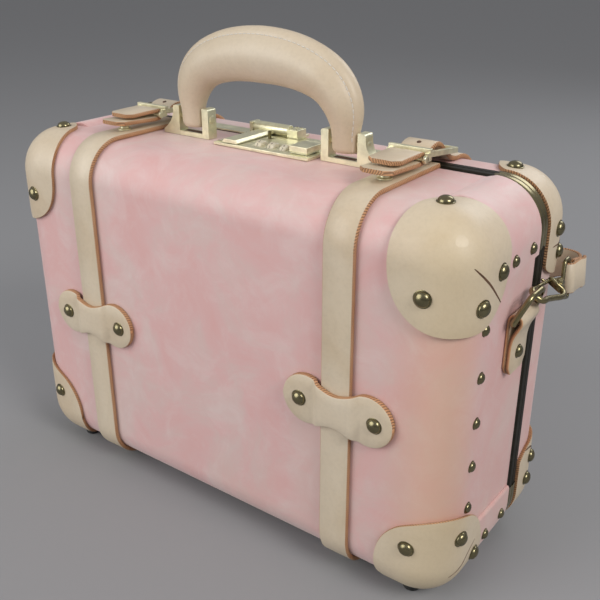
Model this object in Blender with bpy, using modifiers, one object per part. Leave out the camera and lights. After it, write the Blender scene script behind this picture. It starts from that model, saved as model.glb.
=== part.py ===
"""Vintage style hard suitcase with leather trim, shoulder strap and combination lock.

Metres, +Z up. The front of the case faces -Y. All pieces are modelled in the case's own
coordinates (X = 0 in the middle, Y = 0 on the front face, Z = 0 on the underside of the
shell) and hang from one empty that stands the case on its feet.
"""
import math

import bmesh
import bpy
from mathutils import Matrix, Vector

MM = 0.001

# Driving dimensions of the case
WIDTH = 360 * MM
HEIGHT = 245 * MM
DEPTH = 142 * MM
CORNER_R = 28 * MM
FRONT_FILLET = 26 * MM
REAR_FILLET = 24 * MM
WALL = 3 * MM
LINING = 1 * MM
GAP = 0.3 * MM
FOOT_HEIGHT = 7 * MM
CENTRE_Y = 85.7 * MM

# Valance frames where the two halves meet
BASE_RIM_Y = 91.7 * MM
FRAME_FRONT_Y = 92 * MM
PART_Y = 98 * MM
FRAME_REAR_Y = 104 * MM
LID_RIM_Y = 104.3 * MM
FRAME_PROUD = 1.2 * MM
FRAME_INNER = -4 * MM

# Leather trim
STRAP_X = 105.7 * MM
STRAP_W = 22 * MM
STRAP_T = 3 * MM
CAP_T = 2.2 * MM
CAP_X = 174.5 * MM
CAP_TOP = {"y": 7 * MM, "z": 22 * MM, "radius": 43 * MM}
CAP_LOW = {"y": 9 * MM, "z": 19.5 * MM, "radius": 41.5 * MM}
KEEPER_Z = 119.5 * MM
KEEPER_HALF = 38.5 * MM
KEEPER_T = 2.5 * MM

# Handle and brackets
HANDLE_Y = 68 * MM
PIN_Z = HEIGHT + 13.2 * MM
LEG_X = 62.75 * MM
PIN_R = 2 * MM
BRACKET_DEPTH = 8.4 * MM

# Combination lock
PLATE_X = (-35.5 * MM, 42 * MM)
PLATE_Y = (56.3 * MM, 91.5 * MM)
PLATE_TOP = HEIGHT + 2.3 * MM
DIAL_XS = (-4.5 * MM, 5.7 * MM, 15.9 * MM)
DIAL_R = 5.5 * MM
DIAL_W = 5 * MM
DIAL_Y = 68.5 * MM
DIAL_Z = PLATE_TOP + 2.8 * MM - DIAL_R
HASP_Y = 98.8 * MM
HASP_Z = HEIGHT + 5.6 * MM
HASP_R = 4 * MM

# Buckle hardware on the lid straps
TAB_PIN_Y = 65.5 * MM
TAB_PIN_Z = HEIGHT + 11.3 * MM
TAB_T = 2.6 * MM
SNAP_Y = 42 * MM

# Hinge under the case
HINGE_Z = -3.7 * MM
HINGE_R = 2.2 * MM
KNUCKLE = 24 * MM
KNUCKLES = 5
HINGE_BORE = 1.1 * MM
HINGE_PIN = 0.8 * MM
LID_PIVOT = (0, PART_Y, HINGE_Z)

# Side rings, hooks and shoulder strap
CHAPE_Y = (57.3 * MM, 82.1 * MM)
RING_X = 185.3 * MM
RING_Z = 175 * MM
RING_LEAN = math.radians(21)
RING_WIRE = 1.6 * MM
HOOK_AT = Vector((189.2, 79.2, 185.3)) * MM
HOOK_DIP = math.radians(6.5)
HOOK_ROLL = math.radians(-60)
HOOK_WIRE = 1.6 * MM
HOOK_BEND = 4.6 * MM
EYE_U = 50 * MM
EYE_WIRE = 1.25 * MM
SHOULDER_W = 19 * MM
SHOULDER_T = 2.6 * MM

ARC_STEPS = 8


# ------------------------------------------------------------------ scene and materials

def clear_scene():
    for obj in list(bpy.data.objects):
        bpy.data.objects.remove(obj, do_unlink=True)


def collection(name):
    coll = bpy.data.collections.new(name)
    bpy.context.scene.collection.children.link(coll)
    return coll


def material(name, colour, roughness, metallic=0.0):
    mat = bpy.data.materials.new(name)
    mat.use_nodes = True
    shader = mat.node_tree.nodes["Principled BSDF"]
    shader.inputs["Base Color"].default_value = (*colour, 1)
    shader.inputs["Roughness"].default_value = roughness
    shader.inputs["Metallic"].default_value = metallic
    return mat


clear_scene()
PARTS = collection("vintage_suitcase")
CUTTERS = collection("cutters")
CASE = bpy.data.objects.new("case_axes", None)
CASE.location = (0, -CENTRE_Y, FOOT_HEIGHT)
PARTS.objects.link(CASE)

PINK = ("leatherette", (0.66, 0.45, 0.43), 0.55, 0.0)
TAN = ("leather", (0.56, 0.46, 0.32), 0.6, 0.0)
BRASS = ("pale_brass", (0.62, 0.58, 0.38), 0.25, 1.0)
BRONZE = ("bronze", (0.16, 0.14, 0.09), 0.35, 1.0)
CLOTH = ("lining_cloth", (0.75, 0.68, 0.58), 0.9, 0.0)
RUBBER = ("rubber", (0.03, 0.03, 0.03), 0.8, 0.0)
WHITE = ("dial_white", (0.8, 0.78, 0.66), 0.4, 0.0)
STEEL = ("steel", (0.6, 0.6, 0.58), 0.3, 1.0)


# ------------------------------------------------------------------ mesh helpers

def link(name, mesh, look=None, pivot=None):
    """Puts a mesh in the case, with its origin moved to the pivot its joint turns on."""
    obj = bpy.data.objects.new(name, mesh)
    if pivot is not None:
        mesh.transform(Matrix.Translation(-Vector(pivot)))
        obj.location = pivot
    obj.parent = CASE
    if look is None:
        CUTTERS.objects.link(obj)
        obj.hide_render = True
        obj.display_type = "WIRE"
        return obj
    PARTS.objects.link(obj)
    mesh.materials.append(material(f"{name}_{look[0]}", *look[1:]))
    return obj


def loft(rings, cyclic=False, closed=True):
    """Skins equal rings of points. Open runs of rings are capped at both ends."""
    bm = bmesh.new()
    loops = [[bm.verts.new(p) for p in ring] for ring in rings]
    count = len(rings[0])
    pairs = list(zip(loops, loops[1:]))
    if cyclic:
        pairs.append((loops[-1], loops[0]))
    for low, high in pairs:
        for i in range(count if closed else count - 1):
            j = (i + 1) % count
            bm.faces.new((low[i], low[j], high[j], high[i]))
    if not cyclic:
        bm.faces.new(reversed(loops[0]))
        bm.faces.new(loops[-1])
    return to_mesh(bm)


def to_mesh(bm):
    bmesh.ops.recalc_face_normals(bm, faces=bm.faces)
    mesh = bpy.data.meshes.new("mesh")
    bm.to_mesh(mesh)
    bm.free()
    return mesh


def prism(points, low, high, axis):
    """A flat outline of (a, b) points pushed from low to high along the named axis."""
    place = {
        "X": lambda a, b, c: (c, a, b),
        "Y": lambda a, b, c: (a, c, b),
        "Z": lambda a, b, c: (a, b, c),
    }[axis]
    return loft([[place(a, b, c) for a, b in points] for c in (low, high)])


def box(x, y, z):
    corners = [(x[0], y[0]), (x[1], y[0]), (x[1], y[1]), (x[0], y[1])]
    return prism(corners, z[0], z[1], "Z")


def arc(centre, radius, start, end, steps=ARC_STEPS):
    """Points on a circle, angles in degrees."""
    for i in range(steps + 1):
        angle = math.radians(start + (end - start) * i / steps)
        yield centre[0] + radius * math.cos(angle), centre[1] + radius * math.sin(angle)


def disc(centre, radius, low, high, axis, steps=20):
    points = list(arc(centre, radius, 0, 360, steps))[:-1]
    return prism(points, low, high, axis)


def tube_ring(centre, inner, outer, low, high, steps=24):
    """A closed ring round an X axis: bore, two faces and rim."""
    rings = []
    for radius, along in ((inner, low), (outer, low), (outer, high), (inner, high)):
        points = list(arc(centre, radius, 0, 360, steps))[:-1]
        rings.append([(along, a, b) for a, b in points])
    return loft(rings, cyclic=True)


def smooth(points, steps=6):
    """A curve through the points, as a list with `steps` pieces between neighbours."""
    pts = [Vector(p) for p in points]
    ends = [2 * pts[0] - pts[1]] + pts + [2 * pts[-1] - pts[-2]]
    path = []
    for a, b, c, d in zip(ends, ends[1:], ends[2:], ends[3:]):
        for i in range(steps):
            t = i / steps
            path.append(0.5 * (2 * b + (c - a) * t + (2 * a - 5 * b + 4 * c - d) * t * t
                               + (3 * b - a - 3 * c + d) * t ** 3))
    path.append(pts[-1])
    return path


def tangents(path):
    last = len(path) - 1
    return [(path[min(i + 1, last)] - path[max(i - 1, 0)]).normalized() for i in range(last + 1)]


def ribbon(path, across, width, thickness):
    """A strap swept along its middle line. across and width may change along the way."""
    rings = []
    for i, (point, along) in enumerate(zip(path, tangents(path))):
        side = Vector(across(i)).normalized()
        side = (side - along * side.dot(along)).normalized()
        up = side.cross(along)
        half = width(i) / 2
        rings.append([point + side * a * half + up * b * thickness / 2
                      for a, b in ((-1, -1), (1, -1), (1, 1), (-1, 1))])
    return loft(rings)


def wire(points, radius, cyclic, resolution=2):
    """Round wire along points, as a closed mesh."""
    curve = bpy.data.curves.new("wire", "CURVE")
    curve.dimensions = "3D"
    curve.bevel_depth = radius
    curve.bevel_resolution = resolution
    curve.use_fill_caps = True
    spline = curve.splines.new("POLY")
    spline.points.add(len(points) - 1)
    for target, point in zip(spline.points, points):
        target.co = (*point, 1)
    spline.use_cyclic_u = cyclic
    holder = bpy.data.objects.new("wire", curve)
    CUTTERS.objects.link(holder)
    graph = bpy.context.evaluated_depsgraph_get()
    mesh = bpy.data.meshes.new_from_object(holder.evaluated_get(graph))
    bpy.data.objects.remove(holder)
    bm = bmesh.new()
    bm.from_mesh(mesh)
    bmesh.ops.remove_doubles(bm, verts=bm.verts, dist=1e-6)
    return to_mesh(bm)


def merge(*meshes):
    """Several loose bodies as one mesh, for use as a Boolean operand."""
    bm = bmesh.new()
    for mesh in meshes:
        bm.from_mesh(mesh)
    joined = bpy.data.meshes.new("mesh")
    bm.to_mesh(joined)
    bm.free()
    return joined


def boolean(obj, operation, mesh, name):
    cutter = link(f"{obj.name}_{name}", mesh)
    mod = obj.modifiers.new(name, "BOOLEAN")
    mod.operation = operation
    mod.solver = "EXACT"
    mod.object = cutter


def chamfer(obj, width):
    """Breaks every sharp edge with one flat."""
    mod = obj.modifiers.new("edges", "BEVEL")
    mod.width = width
    mod.segments = 1
    mod.limit_method = "ANGLE"
    mod.angle_limit = math.radians(35)


def sides():
    return (("left", -1), ("right", 1))


# ------------------------------------------------------------------ shells and frames

def outline(grow, y, inset=0.0):
    """The case's rounded rectangle seen from the front, grown outwards, at depth y."""
    edge = grow - inset
    radius = CORNER_R + edge
    half = WIDTH / 2 - CORNER_R
    low, high = CORNER_R, HEIGHT - CORNER_R
    corners = ((half, high, 0), (-half, high, 90), (-half, low, 180), (half, low, 270))
    points = []
    for x, z, start in corners:
        points += [(a, y, b) for a, b in arc((x, z), radius, start, start + 90)]
    return points


def half_rings(grow, fillet, face_y, rim_y, steps=7):
    """Rings from the middle of a half's flat face, round its fillet, to its rim."""
    way = 1 if rim_y > face_y else -1
    radius = fillet + grow
    rings = []
    for i in range(steps + 1):
        angle = math.radians(90 * i / steps)
        y = face_y + way * (radius * (1 - math.cos(angle)) - grow)
        rings.append(outline(grow, y, radius * (1 - math.sin(angle))))
    rings.append(outline(grow, rim_y))
    return rings


def half_shell(outer, inner, fillet, face_y, rim_y):
    """One half of the case as a tray: outer skin, rim and inner skin."""
    out = half_rings(outer, fillet, face_y, rim_y)
    back = half_rings(inner, fillet, face_y, rim_y)
    return loft(out + back[::-1])


def frame_ring(y_low, y_high, ridge):
    """Valance extrusion: a bent strip with a low ridge, closed into one ring."""
    chamfer_w = 0.6 * MM
    section = (
        (FRAME_INNER, y_low), (FRAME_PROUD - chamfer_w, y_low), (FRAME_PROUD, y_low + chamfer_w),
        (FRAME_PROUD, ridge), (FRAME_PROUD, y_high - chamfer_w),
        (FRAME_PROUD - chamfer_w, y_high), (FRAME_INNER, y_high),
    )
    return loft([outline(grow, y) for grow, y in section], cyclic=True)


def build_shells():
    base = link("base_shell", half_shell(0, -WALL, FRONT_FILLET, 0, BASE_RIM_Y), PINK)
    lid = link("lid_shell", half_shell(0, -WALL, REAR_FILLET, DEPTH, LID_RIM_Y), PINK, LID_PIVOT)
    skin = -WALL - GAP
    lining = link("base_lining", half_shell(skin, skin - LINING, FRONT_FILLET, 0, BASE_RIM_Y), CLOTH)
    link("lid_lining", half_shell(skin, skin - LINING, REAR_FILLET, DEPTH, LID_RIM_Y), CLOTH,
         LID_PIVOT)
    for piece in (base, lining):
        boolean(piece, "DIFFERENCE", lock_well(), "lock_well")
    parting = GAP / 2
    ridge_in = 2 * MM
    link("base_frame", frame_ring(FRAME_FRONT_Y, PART_Y - parting, FRAME_FRONT_Y + ridge_in), BRONZE)
    link("lid_frame", frame_ring(PART_Y + parting, FRAME_REAR_Y, FRAME_REAR_Y - ridge_in), BRONZE,
         LID_PIVOT)


# ------------------------------------------------------------------ corner caps and feet

def cap_skin(fillet, face_y, rim_y):
    inner = half_rings(GAP, fillet, face_y, rim_y)
    outer = half_rings(GAP + CAP_T, fillet, face_y, rim_y)
    return loft(outer + inner[::-1])


def ball(centre, radius):
    bm = bmesh.new()
    bmesh.ops.create_icosphere(bm, subdivisions=3, radius=radius,
                               matrix=Matrix.Translation(Vector(centre)))
    return to_mesh(bm)


def build_caps():
    halves = (
        ("front", FRONT_FILLET, 0, BASE_RIM_Y - GAP, 1, None),
        ("rear", REAR_FILLET, DEPTH, LID_RIM_Y + GAP, -1, LID_PIVOT),
    )
    levels = (("top", CAP_TOP, HEIGHT - CAP_TOP["z"]), ("bottom", CAP_LOW, CAP_LOW["z"]))
    for half, fillet, face_y, rim_y, inward, pivot in halves:
        for level, reach, z in levels:
            y = face_y + inward * reach["y"]
            for side, sign in sides():
                skin = cap_skin(fillet, face_y, rim_y)
                cap = link(f"cap_{half}_{level}_{side}", skin, TAN, pivot)
                boolean(cap, "INTERSECT", ball((sign * CAP_X, y, z), reach["radius"]), "reach")


def build_feet():
    foot_x = 151.5 * MM
    inset = 20 * MM
    radius = 6.5 * MM
    clearance = GAP + CAP_T + GAP
    halves = (
        ("front", inset, FRONT_FILLET, 0, BASE_RIM_Y, None),
        ("rear", DEPTH - inset, REAR_FILLET, DEPTH, LID_RIM_Y, LID_PIVOT),
    )
    for half, y, fillet, face_y, rim_y, pivot in halves:
        for side, sign in sides():
            centre = (sign * foot_x, y)
            profile = ((radius - 1.5 * MM, -FOOT_HEIGHT), (radius, 1 * MM - FOOT_HEIGHT),
                       (radius, -0.2 * MM))
            rings = [[(a, b, z) for a, b in list(arc(centre, r, 0, 360, 16))[:-1]]
                     for r, z in profile]
            foot = link(f"foot_{half}_{side}", loft(rings), RUBBER, pivot)
            boolean(foot, "DIFFERENCE", loft(half_rings(clearance, fillet, face_y, rim_y)), "seat")


# ------------------------------------------------------------------ straps, keepers, buckles

def front_wrap():
    """Middle line of a front strap: over the top, down the front and under the base."""
    lift = GAP + STRAP_T / 2
    end_y = BASE_RIM_Y - 0.5 * MM
    radius = FRONT_FILLET + lift
    top = (FRONT_FILLET, HEIGHT - FRONT_FILLET)
    low = (FRONT_FILLET, FRONT_FILLET)
    points = [(end_y, HEIGHT + lift), (60 * MM, HEIGHT + lift)]
    points += list(arc(top, radius, 90, 180))
    points += list(arc(low, radius, 180, 270))
    points += [(60 * MM, -lift), (end_y, -lift)]
    return points


def lid_wrap():
    """Middle line of a lid strap, from under the lid to where it tucks in its buckle."""
    lift = GAP + STRAP_T / 2
    radius = REAR_FILLET + lift
    rear = DEPTH - REAR_FILLET
    points = [(LID_RIM_Y + 0.5 * MM, -lift)]
    points += list(arc((rear, REAR_FILLET), radius, -90, 0))
    points += list(arc((rear, HEIGHT - REAR_FILLET), radius, 0, 90))
    crest = ((112, 1.9), (104, 4.3), (97, 9.2), (91, 14.6), (84.5, 17.2), (78.5, 15.6), (75.2, 11.6))
    rise = [(0, y * MM, HEIGHT + z * MM) for y, z in crest]
    points += [(p.y, p.z) for p in smooth(rise, 3)]
    return points


def strap_mesh(x, line, width=STRAP_W, thickness=STRAP_T, ends=None):
    path = [Vector((x, y, z)) for y, z in line]
    taper = ends or (lambda i: width)
    return ribbon(path, lambda i: (1, 0, 0), taper, thickness)


def keeper_mesh(x):
    """Dog-bone tab that bridges the strap and lies on the shell at both ends."""
    lobe_r = 16.5 * MM
    waist = 11.4 * MM
    lobe_x = KEEPER_HALF - lobe_r
    stations = 28
    rings = []
    for i in range(stations + 1):
        dx = -KEEPER_HALF * math.cos(math.pi * i / stations)
        reach = abs(dx)
        if reach > lobe_x:
            half = max(math.sqrt(max(lobe_r ** 2 - (reach - lobe_x) ** 2, 0)), 1.5 * MM)
        else:
            t = reach / lobe_x
            half = waist + (lobe_r - waist) * t * t * (3 - 2 * t)
        t = min(max((reach - STRAP_W / 2 - 0.6 * MM) / (5 * MM), 0), 1)
        lift = GAP + (STRAP_T + GAP) * (1 - t * t * (3 - 2 * t))
        rings.append([(x + dx, -lift, KEEPER_Z - half), (x + dx, -lift, KEEPER_Z + half),
                      (x + dx, -lift - KEEPER_T, KEEPER_Z + half),
                      (x + dx, -lift - KEEPER_T, KEEPER_Z - half)])
    return loft(rings)


def buckle_mesh_parts(x):
    """Ring of the buckle, then the lugs and the tab's pin that are welded to it."""
    outer, inner = 14 * MM, 11.5 * MM
    front, rear = 70 * MM, 106 * MM
    bar = 3 * MM
    half_t = 1.7 * MM

    def level(y):
        slope = (rear - y) / (rear - front)
        return HEIGHT + (9.3 + 4.4 * slope) * MM

    def ring(reach, y_low, y_high, lift):
        return [(x + sx * reach, y, level(y) + lift) for sx, y in
                ((-1, y_low), (1, y_low), (1, y_high), (-1, y_high))]

    frame = loft([ring(outer, front, rear, -half_t), ring(outer, front, rear, half_t),
                  ring(inner, front + bar, rear - bar, half_t),
                  ring(inner, front + bar, rear - bar, -half_t)], cyclic=True)
    lug_z = (TAB_PIN_Z - 2.2 * MM, TAB_PIN_Z + 2.4 * MM)
    lugs = [box(sorted((x + s * inner, x + s * (outer - 0.2 * MM))),
                (TAB_PIN_Y - 2.4 * MM, front + 1 * MM), lug_z) for s in (-1, 1)]
    pin = disc((TAB_PIN_Y, TAB_PIN_Z), 1.2 * MM, x - inner - 1 * MM, x + inner + 1 * MM, "X", 14)
    return frame, lugs, pin


def tab_line():
    """Middle line of the folded tab: upper layer, turn round the pin, lower layer."""
    turn = 1.5 * MM + TAB_T / 2
    z = TAB_PIN_Z
    line = [(38 * MM, z + 2.6 * MM), (41 * MM, z + 2.65 * MM), (52 * MM, z + turn)]
    line += list(arc((TAB_PIN_Y, z), turn, 90, -90))
    line += [(52 * MM, z - turn + 0.5 * MM), (38 * MM, z - 1.4 * MM), (33 * MM, z - 1.15 * MM),
             (29 * MM, z - 0.9 * MM)]
    return line


def tab_width(i):
    last = len(tab_line()) - 1
    clipped = STRAP_W - 7 * MM
    return clipped if i in (0, last) else STRAP_W


def build_straps():
    for side, sign in sides():
        x = sign * STRAP_X
        link(f"base_strap_{side}", strap_mesh(x, front_wrap()), TAN)
        link(f"strap_keeper_{side}", keeper_mesh(x), TAN)
        link(f"lid_strap_{side}", strap_mesh(x, lid_wrap()), TAN, LID_PIVOT)
        frame, lugs, pin = buckle_mesh_parts(x)
        buckle = link(f"buckle_{side}", frame, BRASS, LID_PIVOT)
        boolean(buckle, "UNION", merge(*lugs), "lugs")
        boolean(buckle, "UNION", pin, "pin")
        pivot = (x, TAB_PIN_Y, TAB_PIN_Z)
        tab = strap_mesh(x, tab_line(), thickness=TAB_T, ends=tab_width)
        link(f"buckle_tab_{side}", tab, TAN, pivot)
        build_snap(side, x, pivot)


def build_snap(side, x, pivot):
    strap_top = HEIGHT + GAP + STRAP_T
    stud = (strap_top + GAP, strap_top + 2.8 * MM)
    link(f"snap_stud_{side}", disc((x, SNAP_Y), 4.6 * MM, *stud, "Z", 16), BRASS)
    socket = (stud[1] + GAP, stud[1] + 1.9 * MM)
    link(f"snap_socket_{side}", disc((x, SNAP_Y), 5.2 * MM, *socket, "Z", 16), BRASS, pivot)


# ------------------------------------------------------------------ handle

def bracket_outline(sign):
    """U-shaped bracket seen from the front, with a foot swept out on its outer side."""
    floor, seat, top = 0.3 * MM, 3.3 * MM, 20.6 * MM
    inner, slot_in, slot_out, outer, toe = (v * MM for v in (46.5, 52.2, 73.3, 79, 88.5))
    points = [(inner, floor), (toe, floor), (toe, 1.6 * MM)]
    points += [(a, b) for a, b in arc((toe + 1 * MM, 12 * MM), 10.5 * MM, 255, 180, 6)]
    points += [(outer, top - 1.5 * MM), (outer - 1.5 * MM, top), (slot_out, top), (slot_out, seat),
               (slot_in, seat), (slot_in, top), (inner + 1.5 * MM, top), (inner, top - 1.5 * MM)]
    return [(sign * a, HEIGHT + b) for a, b in points]


def handle_rings():
    """Pear-shaped padding round a D-shaped middle line, thickest in the middle."""
    stations = (
        (LEG_X, 7.6, 7.8, 5.4), (LEG_X, 9.5, 8.7, 6.6), (LEG_X, 13.2, 9.0, 7.2),
        (LEG_X, 19, 9.2, 8.0), (LEG_X, 22.6, 9.7, 8.8), (LEG_X - 0.8 * MM, 28.5, 12.0, 10.0),
        (59.2 * MM, 36.4, 13.6, 11.4), (51.6 * MM, 46.6, 14.4, 12.6), (40 * MM, 53.2, 15.2, 13.2),
        (22 * MM, 58, 16.6, 13.5), (0, 59.8, 17.4, 13.5),
    )
    middle = smooth([(x, HANDLE_Y, HEIGHT + z * MM) for x, z, _, _ in stations], 2)
    path = middle + [Vector((-p.x, p.y, p.z)) for p in middle[-2::-1]]
    sizes = [(p.x, p.y) for p in smooth([(b * MM, a * MM, 0) for _, _, b, a in stations], 2)]
    sizes += sizes[-2::-1]
    rings = []
    for point, along, (reach, deep) in zip(path, tangents(path), sizes):
        outward = Vector((0, 1, 0)).cross(along)
        rings.append(pear(point, outward, reach, deep))
    return rings


def pear(point, outward, reach, deep, steps=18, narrowing=0.42):
    """One section: round on the inside of the arch, narrow along the outer seam."""
    ring = []
    for i in range(steps):
        angle = 2 * math.pi * i / steps
        rise = math.sin(angle)
        squeeze = 1 - narrowing * max(rise, 0) ** 2
        ring.append(point + outward * reach * rise
                    + Vector((0, 1, 0)) * deep * squeeze * math.cos(angle))
    return ring


def build_handle():
    pin_spot = (HANDLE_Y, PIN_Z)
    half = BRACKET_DEPTH / 2
    for side, sign in sides():
        low, high = HANDLE_Y - half, HANDLE_Y + half
        bracket = link(f"handle_bracket_{side}", prism(bracket_outline(sign), low, high, "Y"), BRASS)
        span = sorted((sign * 50 * MM, sign * 76 * MM))
        boolean(bracket, "UNION", disc(pin_spot, PIN_R, *span, "X", 16), "pin")
        recess = box(sorted((sign * 54.5 * MM, sign * 71 * MM)), (low + 1.8 * MM, high - 1.8 * MM),
                     (HEIGHT + 1.4 * MM, HEIGHT + 4 * MM))
        boolean(bracket, "DIFFERENCE", recess, "recess")
    grip = link("handle_grip", loft(handle_rings()), TAN, (0, *pin_spot))
    bores = [disc(pin_spot, PIN_R + GAP, *sorted((s * 45 * MM, s * 80 * MM)), "X", 16)
             for s in (-1, 1)]
    boolean(grip, "DIFFERENCE", merge(*bores), "bores")


# ------------------------------------------------------------------ lock

def lock_well():
    """Opening in shell and lining for the lock's body."""
    return box((-10.2 * MM, 21.6 * MM), (61 * MM, 76 * MM), (HEIGHT - 12 * MM, HEIGHT + 2 * MM))


def build_lock():
    plate = link("lock_plate", box(PLATE_X, PLATE_Y, (HEIGHT + GAP, PLATE_TOP)), BRASS)
    body = box((-9.6 * MM, 21 * MM), (61.6 * MM, 75.4 * MM), (HEIGHT - 7.4 * MM, HEIGHT + 1 * MM))
    boolean(plate, "UNION", body, "body")
    slots = [box((x - 2.9 * MM, x + 2.9 * MM), (DIAL_Y - 6 * MM, DIAL_Y + 6 * MM),
                 (HEIGHT - 6.4 * MM, HEIGHT + 5 * MM)) for x in DIAL_XS]
    boolean(plate, "DIFFERENCE", merge(*slots), "dial_slots")
    shaft_run = (-8.6 * MM, 20 * MM)
    boolean(plate, "DIFFERENCE", disc((DIAL_Y, DIAL_Z), 1.3 * MM, *shaft_run, "X", 14), "shaft_bore")
    ways = (box((28 * MM, 38.6 * MM), (65 * MM, 71.6 * MM), (HEIGHT + 1 * MM, HEIGHT + 4 * MM)),
            box((-12.6 * MM, -6.4 * MM), (84.6 * MM, 87.4 * MM), (HEIGHT + 1 * MM, HEIGHT + 4 * MM)))
    boolean(plate, "DIFFERENCE", merge(*ways), "ways")
    chamfer(plate, 0.35 * MM)
    run = (shaft_run[0] + GAP, shaft_run[1] - GAP)
    link("dial_shaft", disc((DIAL_Y, DIAL_Z), 1 * MM, *run, "X", 14), STEEL)
    for number, x in enumerate(DIAL_XS, 1):
        dial_mesh = tube_ring((DIAL_Y, DIAL_Z), 1.3 * MM, DIAL_R, x - DIAL_W / 2, x + DIAL_W / 2, 20)
        link(f"dial_{number}", dial_mesh, WHITE, (x, DIAL_Y, DIAL_Z))
    build_slide()
    build_lever()


def build_slide():
    block = box((24.5 * MM, 38.5 * MM), (60.5 * MM, 76 * MM), (PLATE_TOP + GAP, PLATE_TOP + 5 * MM))
    slide = link("slide_button", block, BRASS, (31.5 * MM, 68.3 * MM, PLATE_TOP + GAP))
    stem = box((28.4 * MM, 33.8 * MM), (65.4 * MM, 71.2 * MM), (HEIGHT + 1.4 * MM, PLATE_TOP + 1 * MM))
    boolean(slide, "UNION", stem, "stem")
    chamfer(slide, 0.4 * MM)


def build_lever():
    base = box((-12.2 * MM, -9.8 * MM), (85 * MM, 87 * MM), (HEIGHT + 1.4 * MM, PLATE_TOP + 5 * MM))
    lever = link("code_lever", base, BRASS, (-11 * MM, 86 * MM, PLATE_TOP))
    chamfer(lever, 0.3 * MM)


def build_hasp():
    """Mount with its pin on the lid frame, and the arm that drops over the lock plate."""
    ear = (HEIGHT + 1.5 * MM, HEIGHT + 9 * MM)
    mount = link("hasp_mount", box((-2.1 * MM, 6.9 * MM), (93.3 * MM, 103.7 * MM),
                                   (ear[0], HEIGHT + 8 * MM)), BRASS, LID_PIVOT)
    left_ear = box((-36.2 * MM, -33.3 * MM), (95.2 * MM, 103.7 * MM), ear)
    strip = box((-36.1 * MM, 6.8 * MM), (103.3 * MM, 107.5 * MM), (ear[0] + 0.1 * MM, HEIGHT + 3.6 * MM))
    boolean(mount, "UNION", left_ear, "ear")
    boolean(mount, "UNION", strip, "strip")
    spot = (HASP_Y, HASP_Z)
    boolean(mount, "UNION", disc(spot, 1.4 * MM, -34.5 * MM, 0, "X", 14), "pin")
    pivot = (-17 * MM, *spot)
    barrel = disc(spot, HASP_R, -32.9 * MM, -2.5 * MM, "X", 24)
    arm = link("hasp_arm", barrel, BRASS, pivot)
    slope = 1.6 * MM
    low, high = PLATE_TOP + GAP, PLATE_TOP + 2.9 * MM
    plan = ((-28.5 * MM, low), (-15.5 * MM, low), (-15.5 * MM, low + 0.8 * MM),
            (-15.5 * MM - slope, high), (-28.5 * MM + slope, high), (-28.5 * MM, low + 0.8 * MM))
    boolean(arm, "UNION", prism(plan, 57 * MM, HASP_Y - 2.2 * MM, "Y"), "arm")
    boolean(arm, "DIFFERENCE", disc(spot, 1.75 * MM, -40 * MM, 5 * MM, "X", 14), "bore")


# ------------------------------------------------------------------ hinge under the case

def knuckles(spans):
    return merge(*[disc((PART_Y, HINGE_Z), HINGE_R, low, high, "X", 16) for low, high in spans])


def build_hinge():
    """Two leaves with meshing knuckles on one pin. Even knuckles belong to the base."""
    half = KNUCKLES / 2 * KNUCKLE
    clear = 0.2 * MM
    spans = [(-half + i * KNUCKLE + clear, -half + (i + 1) * KNUCKLE - clear)
             for i in range(KNUCKLES)]
    leaf_z = (HINGE_Z + 1.1 * MM, HINGE_Z + 2.1 * MM)
    shared = (-half + clear, half - clear)
    for half_name, way, own, pivot in (("base", -1, spans[0::2], None),
                                       ("lid", 1, spans[1::2], LID_PIVOT)):
        near, far = PART_Y + way * 2.8 * MM, PART_Y + way * 17 * MM
        leaf = link(f"hinge_leaf_{half_name}", box(shared, sorted((near, far)), leaf_z), BRASS, pivot)
        bridges = [box(span, sorted((PART_Y + way * 0.4 * MM, near + way * 1 * MM)),
                       (leaf_z[0] + 0.05 * MM, leaf_z[1] - 0.05 * MM)) for span in own]
        boolean(leaf, "UNION", merge(*bridges), "bridges")
        boolean(leaf, "UNION", knuckles(own), "knuckles")
        bore = disc((PART_Y, HINGE_Z), HINGE_BORE, -2 * half, 2 * half, "X", 14)
        boolean(leaf, "DIFFERENCE", bore, "bore")
    link("hinge_pin", disc((PART_Y, HINGE_Z), HINGE_PIN, *shared, "X", 14), STEEL)


# ------------------------------------------------------------------ side rings and hooks

def chape_outline(sign):
    """Leather loop seen from the front: tail on the shell, round eye at the top."""
    wall_x = WIDTH / 2 + GAP
    tail_x = wall_x + 4 * MM
    outer = RING_X - wall_x - 0.1 * MM
    pinch = 163 * MM
    points = [(wall_x, 139.5 * MM), (tail_x - 1 * MM, 139.5 * MM), (tail_x, 141 * MM),
              (tail_x, pinch)]
    points += list(arc((RING_X, RING_Z), outer, -50, 180, 14))
    points.append((wall_x, RING_Z - 2 * MM))
    return [(sign * a, b) for a, b in points]


def ring_frame(sign):
    """Directions in the ring: its side-to-side axis is Y, its rise leans off the case."""
    rise = Vector((sign * math.sin(RING_LEAN), 0, math.cos(RING_LEAN)))
    return Vector((sign * RING_X, 0, RING_Z)), rise


def rounded_loop(corners, radii, steps=6):
    """Flat closed path through corners, each rounded with its own radius."""
    path = []
    count = len(corners)
    for i, radius in enumerate(radii):
        before, at, after = (Vector(corners[(i + k) % count]) for k in (-1, 0, 1))
        back, on = (before - at).normalized(), (after - at).normalized()
        reach = radius / math.tan(back.angle(on) / 2)
        start, end = at + back * reach, at + on * reach
        for k in range(steps + 1):
            t = k / steps
            path.append((1 - t) ** 2 * start + 2 * t * (1 - t) * at + t * t * end)
    return path


def ring_path(sign):
    corners = ((52.7, 0), (61.2, 17), (78.2, 17), (86.7, 0))
    flat = rounded_loop(corners, (1.8, 6, 6, 1.8))
    origin, rise = ring_frame(sign)
    return [origin + Vector((0, p.x * MM, 0)) + rise * p.y * MM for p in flat]


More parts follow.
